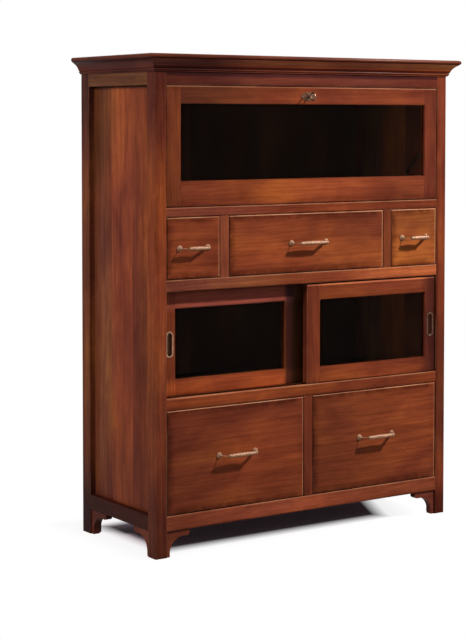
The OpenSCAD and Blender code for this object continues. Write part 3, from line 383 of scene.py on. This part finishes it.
def arris_wear_and_painted_light(tree, where, low, high, colour, shade, wear_and_highlight_share, wear_and_highlight, rims):
    # Darker near the edges, partly glazed and partly painted shade, rubbed arrises, a painted highlight
    # along the top arris, painted shade as a dark line at the foot and, on a front with rims, painted shade
    # as dark lines at both sides and a painted highlight inside the right edge
    to_edge = use_group(tree, BOARD_EDGES, Vector=where, Low=low, High=high)["To Edge"]
    x, _, z = separate(tree, where)
    right = calc(tree, "SUBTRACT", high.x, x)
    uneven = noise(tree, where, 38, 3, 0.6)["Fac"]
    # Darker towards the edges, partly glazed and partly painted shade
    glaze_and_shade = calc(tree, "MULTIPLY", ranged(tree, to_edge, 0.0, GLAZE_AND_SHADE_REACH, shade, 0.0),
                 ranged(tree, uneven, 0.30, 0.62, 0.6, 1.2))
    # On a front with rims the darkening fades out at the right edge, which faces the light: painted light
    if rims:
        glaze_and_shade = calc(tree, "MULTIPLY", glaze_and_shade, ranged(tree, right, 0.008, 0.040, 0.15, 1.0))
    colour = mixed(tree, "MULTIPLY", glaze_and_shade, colour, GLAZE_AND_SHADE_TINT)
    wear_and_highlight_noise = noise(tree, where, 9, 2, 0.55)["Fac"]
    rubbed = calc(tree, "MULTIPLY", ranged(tree, to_edge, 0.0010, 0.0034, 1.0, 0.0),
                  ranged(tree, wear_and_highlight_noise, 0.36, 0.64, 0.03 * wear_and_highlight_share, 0.3 * wear_and_highlight_share))
    # Painted highlight: a pale line along the top arris, where the light falls
    painted_highlight_line = ranged(tree, calc(tree, "SUBTRACT", high.z, z), 0.0012, 0.0044, 1.0, 0.0)
    # Painted shade: a dark line along the foot, the lower arris away from the light
    painted_shade_line = ranged(tree, calc(tree, "SUBTRACT", z, low.z), 0.0016, 0.0046, PAINTED_SHADE_LINE_STRENGTH, 0.0)
    if rims:
        # Painted highlight: a pale line just inside the right edge of a front, which faces the light
        right_edge_highlight = calc(tree, "MULTIPLY", ranged(tree, right, 0.0012, 0.0026),
                   ranged(tree, right, 0.0042, 0.0068, 0.55, 0.0))
        painted_highlight_line = calc(tree, "MAXIMUM", painted_highlight_line, right_edge_highlight)
        # Painted shade: dark lines at both sides of a front, where its gaps lie in shade
        left = calc(tree, "SUBTRACT", x, low.x)
        for distance, reach in ((left, 0.0050), (right, 0.0026)):
            side_shade_line = ranged(tree, distance, 0.0012, reach, PAINTED_SHADE_LINE_STRENGTH, 0.0)
            painted_shade_line = calc(tree, "MAXIMUM", painted_shade_line, side_shade_line)
    colour = mixed(tree, "MULTIPLY", painted_shade_line, colour, PAINTED_SHADE_LINE_TINT)
    # Rubbed wear and the painted highlights both turn the colour pale
    painted_highlight_share = calc(tree, "MULTIPLY", painted_highlight_line, ranged(tree, wear_and_highlight_noise, 0.34, 0.60, 0.45 * wear_and_highlight_share, wear_and_highlight_share))
    return mixed(tree, "MIX", calc(tree, "MAXIMUM", rubbed, painted_highlight_share), colour, (*wear_and_highlight, 1))


def roughen(tree, shader, height, strong, deep):
    bump = tree.nodes.new("ShaderNodeBump")
    bump.inputs["Strength"].default_value = strong
    bump.inputs["Distance"].default_value = deep
    tree.links.new(height, bump.inputs["Height"])
    tree.links.new(bump.outputs[0], shader.inputs["Normal"])


def new_material(name):
    # An empty Principled material, and the place of each point of its piece
    material = bpy.data.materials.new(name)
    material.use_nodes = True
    tree = material.node_tree
    where = tree.nodes.new("ShaderNodeTexCoord").outputs["Object"]
    return material, tree, tree.nodes["Principled BSDF"], where


def wooden(name, grain, log, ring=0.012, boards=None, tones=BOARD_TONES, rails=None, shade=0.45, tone=1.0,
           finish=CHERRY, patches=(), wear_and_highlight_share=0.45, rims=False):
    # log picks a fresh spot of the timber, boards is the width of a glued panel's boards, rails
    # are the two X between which a frame's grain runs across, shade is how dark the arrises are made, glazed
    # and as painted shade, the wear and highlight share says how much the arrises are rubbed and how bright
    # their painted highlights are, rims marks a front with its own four rounded edges, and patches lists
    # where painted light and shade, or the stain's own tone, make the wood lighter or darker
    material, tree, shader, where = new_material(name)
    low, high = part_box(name)
    spot = (0.37 * log, 0.055 + 0.013 * (log % 5), 0.047 + 0.017 * (log % 7))
    along = turned(tree, where, GRAIN_TURN[grain], spot)
    colour = (1, 1, 1, 1)
    if boards:
        start = spot[1] + (-high.x if grain == "z, wide in x" else low.y)
        glued = use_group(tree, GLUED_BOARDS, Vector=along, Start=start, Width=boards)
        along = glued["Vector"]
        number = calc(tree, "DIVIDE", calc(tree, "ADD", glued["Number"], 0.5), len(tones))
        colour = ramp(tree, number, [(board / len(tones), grey(value)) for board, value in enumerate(tones)])
        colour.node.color_ramp.interpolation = "CONSTANT"
    if rails:
        x = separate(tree, where)["X"]
        choice = tree.nodes.new("ShaderNodeMix")
        choice.data_type = "VECTOR"
        in_rails = calc(tree, "MULTIPLY", calc(tree, "GREATER_THAN", x, rails[0]),
                        calc(tree, "LESS_THAN", x, rails[1]))
        tree.links.new(in_rails, choice.inputs["Factor"])
        tree.links.new(along, choice.inputs[4])
        tree.links.new(turned(tree, where, GRAIN_TURN["x"], spot), choice.inputs[5])
        along = choice.outputs[1]
    along = turned(tree, along, (0, 1.6 - 0.5 * (log % 4), 1.2 - 0.4 * (log % 5)))
    grown = use_group(tree, WOOD_GRAIN, Vector=along, Ring_Width=ring)
    stain = ramp(tree, grown["Stain"],
                 ((0.28, finish["dark"]), (0.50, finish["middle"]), (0.72, finish["light"])))
    colour = mixed(tree, "MULTIPLY", 1.0, stain, colour)
    for layer, amount, stops in GRAIN_LAYERS:
        colour = mixed(tree, "MULTIPLY", amount, colour, ramp(tree, grown[layer], stops))
    colour = mixed(tree, "MULTIPLY", 1.0, colour, strength(tone))
    colour = stain_and_painted_light(tree, where, colour, patches)
    if shade:
        colour = arris_wear_and_painted_light(tree, where, low, high, colour, shade, wear_and_highlight_share, finish["wear_and_highlight"], rims)
    tree.links.new(colour, shader.inputs["Base Color"])
    sheen = ranged(tree, grown["Pores"], 0.3, 0.6, finish["gloss"] + 0.14, finish["gloss"])
    tree.links.new(sheen, shader.inputs["Roughness"])
    roughen(tree, shader, calc(tree, "ADD", grown["Pores"], grown["Fine"]), 0.30, 0.0004)
    shader.inputs["IOR"].default_value = 1.45
    shader.inputs["Specular IOR Level"].default_value = 0.018
    shader.inputs["Coat Weight"].default_value = finish["coat"]
    shader.inputs["Coat Roughness"].default_value = 0.16
    return material


def hold(piece):
    # Selects one piece alone and makes it active
    bpy.ops.object.select_all(action="DESELECT")
    piece.select_set(True)
    bpy.context.view_layer.objects.active = piece


def dress(node, material, ease=0.0008):
    # Gives a CAD piece its finish, joins its triangles and eases its sharp arrises
    piece = bpy.data.objects[node]
    for holder in piece.material_slots:
        holder.material = material
    hold(piece)
    bpy.ops.object.shade_smooth()
    weld = piece.modifiers.new("weld", "WELD")
    weld.merge_threshold = 0.00001
    if ease:
        bevel = piece.modifiers.new("ease", "BEVEL")
        bevel.width = ease
        bevel.segments = 2
        bevel.limit_method = "ANGLE"
        bevel.angle_limit = math.radians(40)
    even = piece.modifiers.new("even", "WEIGHTED_NORMAL")
    even.keep_sharp = False


POST_TONES = {"post_front_left": 0.97, "post_front_right": 1.05, "post_rear_left": (0.88, 1.10, 1.10),
              "post_rear_right": 0.90}
# The posts are darker towards the floor and lighter or darker higher up; the narrow dark strip along the
# front right post's inner edge is painted shade, beside the gap
POST_PATCHES = {
    "post_front_left": (
        ((0, 0, 0.0), (2, 2, 0.30), 0.50),
        ((0, 0, 0.84), (2, 2, 0.40), 1.42),
        ((0, 0, 1.38), (2, 2, 0.30), 0.75),
        ((-0.50, -0.225, 0.45), (0.1, 0.045, 0.75), (1.45, 1.62, 2.0))),
    "post_front_right": (
        ((0, 0, 0.0), (2, 2, 0.12), (0.50, 0.44, 0.46)),
        ((0, 0, 0.42), (2, 2, 0.34), 0.57),
        ((0.5035, 0, 0.9), (0.0075, 2, 2), (0.42, 0.26, 0.12))),
    "post_rear_left": (
        ((0, 0, 0.0), (2, 2, 0.28), 0.30),
        ((0, 0, 1.38), (2, 2, 0.34), 0.52)),
    "post_rear_right": (((0, 0, 0.0), (2, 2, 0.28), 0.45),)}
for log, (node, tone) in enumerate(POST_TONES.items()):
    dress(node, wooden(node, "z", log, shade=0.35, tone=tone, patches=POST_PATCHES[node]))

# Rails: straight boards across the front, the sides and the back, tenoned into the posts.
# They are of the same stained cherry, with the grain along each rail.
RAIL_TONES = {"top_rail": 0.88, "flap_sill_rail": 1.24, "door_head_rail": 1.08, "door_sill_rail": 1.18,
              "bottom_rail": (1.45, 1.65, 1.7), "back_rails": 0.85}
# Patches: a dark band just under the cornice on the top rail is painted shadow, and the bright right end of
# the door head rail is a painted highlight; the others make each rail lighter or darker
RAIL_PATCHES = {
    "top_rail": (
        ((-0.50, 0, 1.38), (0.42, 2, 2), 0.58),
        ((0.42, 0, 1.38), (0.40, 2, 2), 0.72),
        ((0, 0, 1.396), (9, 9, 0.012), 0.42),
        ((0, 0, 1.38), (0.50, 2, 2), (1.05, 1.20, 1.5))),
    "flap_sill_rail": (
        ((0.0, 0, 1.0), (0.42, 2, 2), 1.20),
        ((0.46, 0, 1.0), (0.35, 2, 2), 0.80),
        ((-0.42, 0, 1.0), (0.40, 2, 2), (1.02, 1.18, 1.8))),
    "door_head_rail": (
        ((0.42, 0, 0.79), (0.45, 2, 2), (1.85, 2.10, 2.2)),
        ((-0.42, 0, 0.79), (0.45, 2, 2), (1.12, 1.45, 2.1))),
    "door_sill_rail": (((-0.36, 0, 0.44), (0.40, 2, 2), 1.25),),
    "bottom_rail": (((-0.12, 0, 0.1), (0.38, 2, 2), (1.65, 1.60, 1.5)),),
    "back_rails": ()}
for log, (node, tone) in enumerate(RAIL_TONES.items(), 4):
    dress(node, wooden(node, "x", log, shade=0.35, tone=tone, patches=RAIL_PATCHES[node]))
# The bottom side rails are made darker as painted shade; the top side rails are made lighter
dress("side_rails", wooden("side_rails", "y", 10, shade=0, tone=(0.38, 0.52, 0.70), patches=(
    ((0, 0, 0.08), (9, 9, 0.16), (0.50, 0.33, 0.45)),
    ((0, 0, 1.38), (9, 9, 0.20), (1.40, 1.65, 1.40)))))

# Panels and partitions: broad panels glued up from boards with the grain upright, let into
# grooves in the frame. Of the dividers between the drawers only the front edges show.
SIDE_PANEL_PATCHES = (
    ((0, 0, 0.1), (9, 9, 0.30), 0.78),
    ((0, 0.17, 1.32), (9, 0.15, 0.36), (0.60, 0.80, 0.68)),
    ((0, 0.16, 0.60), (9, 0.12, 0.75), (1.06, 1.50, 1.6)),
    ((0, -0.15, 0.70), (9, 0.10, 0.55), (1.28, 1.42, 0.95)))
for log, node in enumerate(("side_panel_left", "side_panel_right"), 11):
    dress(node, wooden(node, "z", log, ring=0.016, boards=0.122, tones=(1.0, 1.30, 1.06), shade=0.4,
                       patches=SIDE_PANEL_PATCHES))
dress("upper_dividers", wooden("upper_dividers", "z", 13, shade=0, patches=(
    ((0.27, 0, 0.9), (0.2, 2, 2), 0.62),
    ((-0.27, 0, 0.9), (0.2, 2, 2), (1.12, 1.28, 1.7)))))
dress("lower_divider", wooden("lower_divider", "z", 14, shade=0, tone=0.85))

# Inside boards and back panel: the same wood, made much darker as painted shade inside the carcass, and left
# matt.
INSIDE_SHADE_CHERRY = dict(dark=(0.022, 0.006, 0.003), middle=(0.040, 0.011, 0.005), light=(0.062, 0.018, 0.007),
                  wear_and_highlight=(0.10, 0.045, 0.022), gloss=0.6, coat=0.0)
for log, node in enumerate(("flap_shelf", "upper_drawer_floor", "door_floor", "bottom_floor"), 15):
    dress(node, wooden(node, "x", log, ring=0.015, boards=0.11, shade=0, finish=INSIDE_SHADE_CHERRY))
dress("back_panel", wooden("back_panel", "z, wide in x", 19, ring=0.015, boards=0.135, shade=0.3,
                           finish=INSIDE_SHADE_CHERRY))
dress("door_tracks", wooden("door_tracks", "x", 20, shade=0, finish=INSIDE_SHADE_CHERRY), 0.0003)

# Top board and cornice: a thin top with a round nose over a hollow moulding, mitred at the
# two front corners. Painted light brightens the moulding's square, and painted shade darkens a line under it
# and its hollow.
dress("top_board", wooden("top_board", "x", 21, ring=0.016, boards=0.12, shade=0.3, tone=0.60, wear_and_highlight_share=0.10))
dress("cornice_front", wooden("cornice_front", "x", 22, shade=0, tone=1.15, patches=(
    ((-0.52, 0, 1.4), (0.34, 2, 2), 0.42),
    ((0, 0, 1.4335), (9, 9, 0.0145), (2.6, 3.8, 4.5)),
    ((0, 0, 1.4120), (9, 9, 0.0070), (0.24, 0.15, 0.15)),
    ((0, 0, 1.402), (9, 9, 0.008), 0.65))), 0.0003)
for log, node in enumerate(("cornice_left", "cornice_right"), 23):
    dress(node, wooden(node, "y", log, shade=0, tone=0.44), 0.0003)

# Foot brackets: shaped pieces with a quarter-round cut, glued into the corners under the rails.
dress("foot_brackets", wooden("foot_brackets", "x", 25, shade=0, tone=(0.78, 0.86, 1.2)), 0.0006)

# Flap: a glazed frame that drops forward, with upright stiles between long rails, and mitred
# beads that hold its pane from behind.
dress("flap_stiles", wooden("flap_stiles", "z", 26, shade=0.3, tone=0.70), 0.0006)
dress("flap_rails", wooden("flap_rails", "x", 27, shade=0.3, tone=0.98, patches=(
    ((-0.50, 0, 1.34), (0.42, 2, 0.12), 0.40),
    ((0.42, 0, 1.34), (0.40, 2, 0.12), 0.86),
    ((0.0, 0, 1.03), (0.34, 2, 0.12), 1.35),
    ((0.46, 0, 1.03), (0.34, 2, 0.12), 0.80))), 0.0006)
dress("flap_beads", wooden("flap_beads", "x", 28, shade=0), 0.0003)


def clear_glass(name):
    # Old float glass: a faint green cast, with dust and smears that show only in a reflection
    material, tree, shader, where = new_material(name)
    smear = noise(tree, where, 9, 4, 0.6, 0.6)["Fac"]
    tree.links.new(ranged(tree, smear, 0.45, 0.75, 0.0, 0.06), shader.inputs["Roughness"])
    cast = ramp(tree, smear, ((0.3, (0.60, 0.64, 0.62)), (0.7, (0.66, 0.70, 0.68))))
    tree.links.new(cast, shader.inputs["Base Color"])
    shader.inputs["IOR"].default_value = 1.07
    shader.inputs["Transmission Weight"].default_value = 1.0
    return material


PANE = clear_glass("pane")
dress("flap_glass", PANE, 0)

# Sliding doors: glazed frames, one behind the other, with a tongue on top and a groove below
# that run in the carcass.
DOOR_RAILS = {"left_door_frame": (-0.456, -0.065), "right_door_frame": (0.047, 0.462)}
# Painted shadow darkens the left door's meeting stile, as the right door's edge would shade it, and the
# right door's right stile, as the post would; painted light brightens the left door's rails, the right
# door's foot is made lighter, and a pale band along the right door's head is a painted highlight
DOOR_PATCHES = {
    "left_door_frame": (
        ((-0.005, 0, 0.6), (0.058, 2, 2), (0.17, 0.24, 0.16)),
        ((-0.049, 0, 0.6), (0.024, 2, 2), 0.16),
        ((-0.25, 0, 0.48), (0.40, 2, 0.05), 2.6),
        ((-0.25, 0, 0.74), (0.40, 2, 0.05), (2.2, 2.5, 3.8))),
    "right_door_frame": (
        ((0.51, 0, 0.6), (0.075, 2, 2), 0.36),
        ((0.25, 0, 0.48), (0.30, 2, 0.05), 1.35),
        ((0.30, 0, 0.7608), (0.60, 2, 0.0034), (3.6, 5.0, 5.6)))}
for log, (node, rails) in enumerate(DOOR_RAILS.items(), 29):
    dress(node, wooden(node, "z", log, rails=rails, shade=0.3, patches=DOOR_PATCHES[node]), 0.0006)
for node in ("left_door_glass", "right_door_glass"):
    dress(node, PANE, 0)

# Drawer fronts: solid boards with rounded edges and the grain across, glazed and given painted shade round
# the edges, and fitted with an even gap.
# Tones and patches make each front lighter or darker: partly the wood's own tone, partly painted light,
# brightest on the upper right front towards the lamp
DRAWER_TONES = {"upper_left": 1.15, "upper_middle": 1.06, "upper_right": (1.25, 1.60, 1.10),
                "lower_left": 1.0, "lower_right": 1.0}
DRAWER_PATCHES = {
    "upper_left": (),
    "upper_middle": (
        ((-0.15, 0, 0.84), (0.20, 2, 0.10), 1.25),
        ((0.22, 0, 0.95), (0.20, 2, 0.10), 0.72)),
    "upper_right": (((0.42, 0, 0.84), (0.20, 2, 0.10), 1.40),),
    "lower_left": (
        ((-0.15, 0, 0.29), (0.22, 2, 0.16), 1.35),
        ((-0.48, 0, 0.20), (0.22, 2, 0.30), 0.82)),
    "lower_right": (
        ((0.40, 0, 0.30), (0.20, 2, 0.20), 1.18),
        ((0.05, 0, 0.25), (0.20, 2, 0.30), 0.78))}
for log, (drawer, tone) in enumerate(DRAWER_TONES.items(), 31):
    node = "drawer_" + drawer + "_front"
    dress(node, wooden(node, "x", log, ring=0.014, shade=0.75, tone=tone, patches=DRAWER_PATCHES[drawer],
                       wear_and_highlight_share=0.80, rims=True))

# Drawer boxes: paler unstained boards, dovetailed to the fronts and waxed.
PALE_WOOD = dict(dark=(0.34, 0.20, 0.095), middle=(0.47, 0.30, 0.150), light=(0.58, 0.40, 0.21),
                 wear_and_highlight=(0.62, 0.46, 0.28), gloss=0.5, coat=0.0)
for log, drawer in enumerate(DRAWER_TONES, 36):
    node = "drawer_" + drawer + "_box"
    dress(node, wooden(node, "y", log, ring=0.010, shade=0, finish=PALE_WOOD), 0.0004)

# Brass: bow handles, flush pulls, keyhole plate, lock, stays and pins. Cast and polished, then
# dulled by handling, with darker brass where fingers don't reach.
BRASS_TONES = ((0.12, 0.072, 0.044), (0.22, 0.145, 0.092), (0.34, 0.235, 0.155))
HANDLE_BRASS = ((0.18, 0.098, 0.062), (0.26, 0.150, 0.098), (0.33, 0.195, 0.130))
BROWN_BRASS = ((0.11, 0.052, 0.030), (0.20, 0.105, 0.066), (0.30, 0.170, 0.112))
UNDERSIDE_SHADE_TINT = (0.92, 0.80, 0.68, 1)


def worn_brass(name, tones=BRASS_TONES, face=None, deep=0.0, rubbed=0.0, recess=(0.25, 0.20, 0.16),
               under=None, sheen=(0.46, 0.24), rough=0.12, foul=0.0):
    # face is the Y of the wood round the piece: between deep and rubbed, measured out from it,
    # the brass turns from dark to bright; below the height under it the brass is darker as painted shade on
    # the underside, and foul is how far the dark part is covered by old polish and lacquer
    material, tree, shader, where = new_material(name)
    tarnish = noise(tree, where, 170, 4, 0.65)["Fac"]
    colour = ramp(tree, tarnish, list(zip((0.34, 0.50, 0.64), tones)))
    _, y, z = separate(tree, where)
    if face is not None:
        out = calc(tree, "SUBTRACT", face, y)
        colour = mixed(tree, "MULTIPLY", ranged(tree, out, deep, rubbed, 1.0, 0.0), colour, (*recess, 1))
        if foul:
            tree.links.new(ranged(tree, out, deep, rubbed, 1.0 - foul, 1.0), shader.inputs["Metallic"])
    if under is not None:
        # Painted shade: darker on the underside, below the middle height
        below = ranged(tree, z, under - 0.0032, under + 0.0012, 1.0, 0.0)
        colour = mixed(tree, "MULTIPLY", below, colour, UNDERSIDE_SHADE_TINT)
    tree.links.new(colour, shader.inputs["Base Color"])
    tree.links.new(ranged(tree, tarnish, 0.34, 0.60, *sheen), shader.inputs["Roughness"])
    shader.inputs["Metallic"].default_value = 1.0
    roughen(tree, shader, noise(tree, where, 900, 2)["Fac"], rough, 0.0001)
    return material


def shares(share, tones):
    return [tuple(share * part for part in tone) for tone in tones]


ROSETTE_RADIUS = 0.0075
GRIP_START = 0.008  # how far out from the wood the grip is made fuller
GRIP_FULLNESS = 0.0020
LEG_FOOT_SPREAD = 1.55
ROSETTE_SPREAD = 1.28


def pick_points(piece, chosen):
    # In edit mode, selects the points of a piece for which chosen is true, and no others
    bpy.ops.mesh.select_all(action="DESELECT")
    bpy.ops.object.mode_set(mode="OBJECT")
    for point in piece.data.vertices:
        point.select = chosen(point.co)
    bpy.ops.object.mode_set(mode="EDIT")


def bow_handle(drawer):
    # A copy of the CAD handle with a fuller grip, leg feet and rosettes. The CAD handle's left
    # foot is inside out, so the fuller grip makes the left leg thinner instead.
    node = "drawer_" + drawer + "_handle"
    low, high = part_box(node)
    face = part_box("drawer_" + drawer + "_front")[0].y
    height = (low.z + high.z) / 2
    handle = bpy.data.objects.new(drawer + "_bow_handle", bpy.data.objects[node].data.copy())
    scene.collection.objects.link(handle)
    hold(handle)
    bpy.ops.object.mode_set(mode="EDIT")
    bpy.ops.mesh.select_all(action="SELECT")
    bpy.ops.mesh.remove_doubles(threshold=0.00001)
    pick_points(handle, lambda place: place.y < face - GRIP_START)
    bpy.ops.transform.shrink_fatten(value=GRIP_FULLNESS)
    for foot in (low.x + ROSETTE_RADIUS, high.x - ROSETTE_RADIUS):
        def off_leg(place):
            return math.hypot(place.x - foot, place.z - height)

        def at_leg_foot(place):
            return off_leg(place) < 0.0045 and face - 0.0045 < place.y < face - 0.0015

        def at_rosette_rim(place):
            return 0.0052 < off_leg(place) < 0.009 and place.y > face - 0.004

        for chosen, spread in ((at_leg_foot, LEG_FOOT_SPREAD), (at_rosette_rim, ROSETTE_SPREAD)):
            pick_points(handle, chosen)
            bpy.ops.transform.resize(value=(spread, 1, spread), center_override=(foot, face, height))
    bpy.ops.object.mode_set(mode="OBJECT")
    bpy.ops.object.shade_smooth_by_angle(angle=math.radians(40))
    handle.data.materials.clear()
    handle.data.materials.append(worn_brass(
        node, HANDLE_BRASS, face=face, deep=0.0, rubbed=0.006, recess=(0.75, 0.66, 0.56), under=height,
        sheen=(0.78, 0.64), rough=0.04))
    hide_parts(node)
    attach(handle, "drawer_" + drawer)


BRASS = worn_brass("brass")
for drawer in DRAWER_TONES:
    bow_handle(drawer)
# The right pull's brass is made much darker than the left's, as painted shade where the post would shade it
for side, share, cup in (("left", 1.5, (0.42, 0.30, 0.12)), ("right", 0.55, (1.6, 1.0, 1.0))):
    node = side + "_door_pull"
    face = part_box(side + "_door_frame")[0].y
    dress(node, worn_brass(node, shares(share, BROWN_BRASS), face, -0.0035, 0.0002, cup, foul=0.9), 0.0002)
for node, share in (("escutcheon", 0.62), ("key", 1.0)):
    dress(node, worn_brass(node, shares(share, BROWN_BRASS)), 0.0002)
for node in ("flap_pivot_pins", "stay_guides", "strike_plate", "flap_stays", "lock_case", "lock_bolt"):
    dress(node, BRASS, 0.0002)


# Screws and pins of the brasswork: slotted countersunk screws hold the stays, the lock and its
# strike plate; the keyhole plate and the flush pulls are held by small domed pins.
def small_head(name, radius, height, round_by, slot_width=0.0):
    # A turned head that faces up, with a saw-cut slot if it is a screw; its underside is in the wood
    bpy.ops.object.select_all(action="DESELECT")
    bpy.ops.mesh.primitive_cylinder_add(vertices=40, radius=radius, depth=height)
    head = bpy.context.object
    head.name = name
    rounding = head.modifiers.new("rounding", "BEVEL")
    rounding.width = round_by
    rounding.segments = 4
    rounding.limit_method = "ANGLE"
    rounding.angle_limit = math.radians(60)
    bpy.ops.object.modifier_apply(modifier="rounding")
    if slot_width:
        bpy.ops.mesh.primitive_cube_add(size=1, location=(0, 0, height / 2))
        saw = bpy.context.object
        saw.dimensions = (slot_width, 3 * radius, height * 0.6)
        bpy.ops.object.transform_apply(location=True, rotation=False, scale=True)
        hold(head)
        cut = head.modifiers.new("slot", "BOOLEAN")
        cut.object = saw
        cut.solver = "EXACT"
        bpy.ops.object.modifier_apply(modifier="slot")
        bpy.data.objects.remove(saw)
    bpy.ops.object.shade_smooth_by_angle(angle=math.radians(35))
    head.data.materials.clear()
    head.data.materials.append(BRASS)
    return head


FACING = {"in": -90, "out": 90, "up": 0, "down": 180}  # degrees that turn a head from facing up


def set_in_place(head, name, body, place, facing, clock=0):
    # A copy of a head, turned to its face of the cabinet, its slot stopped at a chance angle
    hold(head)
    bpy.ops.object.duplicate()
    fixing = bpy.context.object
    fixing.name = name
    facing_turn = Matrix.Rotation(math.radians(FACING[facing]), 4, "X")
    turn = facing_turn @ Matrix.Rotation(math.radians(clock), 4, "Z")
    fixing.matrix_world = Matrix.Translation(place) @ turn
    bpy.ops.object.transform_apply(location=True, rotation=True, scale=True)
    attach(fixing, body)


# Each screw's X and Z, and the angle at which its slot stopped
STAY_SCREWS = ((-0.488, 1.156, 20), (-0.488, 1.180, 75), (0.488, 1.156, 140), (0.488, 1.180, 95))
LOCK_SCREWS = ((-0.0235, 1.3245, 35), (0.0235, 1.3245, 110), (-0.0235, 1.3505, 80), (0.0235, 1.3505, 10))
stay_screw = small_head("stay_screw", 0.0032, 0.0020, 0.0004, 0.0008)
lock_screw = small_head("lock_screw", 0.0022, 0.0016, 0.0003, 0.0006)
domed_pin = small_head("domed_pin", 0.0013, 0.0016, 0.0006)
for number, (x, z, clock) in enumerate(STAY_SCREWS, 1):
    set_in_place(stay_screw, f"stay_screw_{number}", "flap", (x, -0.1735, z), "in", clock)
for number, (x, z, clock) in enumerate(LOCK_SCREWS, 1):
    set_in_place(lock_screw, f"lock_screw_{number}", "flap", (x, -0.1759, z), "in", clock)
for side, x, clock in (("left", -0.032, 60), ("right", 0.032, 25)):
    set_in_place(lock_screw, f"selvedge_screw_{side}", "flap", (x, -0.182, 1.3595), "up", clock)
for side, x, clock in (("left", -0.0193, 120), ("right", 0.0193, 45)):
    set_in_place(lock_screw, f"strike_screw_{side}", "carcass", (x, -0.1823, 1.3620), "down", clock)
for side, x in (("left", -0.0225), ("right", 0.0225)):
    set_in_place(domed_pin, f"keyhole_plate_pin_{side}", "flap", (x, -0.1983, 1.332), "out")
for side, x, y in (("left", -0.476, -0.1670), ("right", 0.483, -0.1950)):
    for end, z in (("top", 0.64885), ("foot", 0.57665)):
        set_in_place(domed_pin, f"{side}_pull_pin_{end}", side + "_door", (x, y, z), "out")
for head in (stay_screw, lock_screw, domed_pin):
    bpy.data.objects.remove(head)
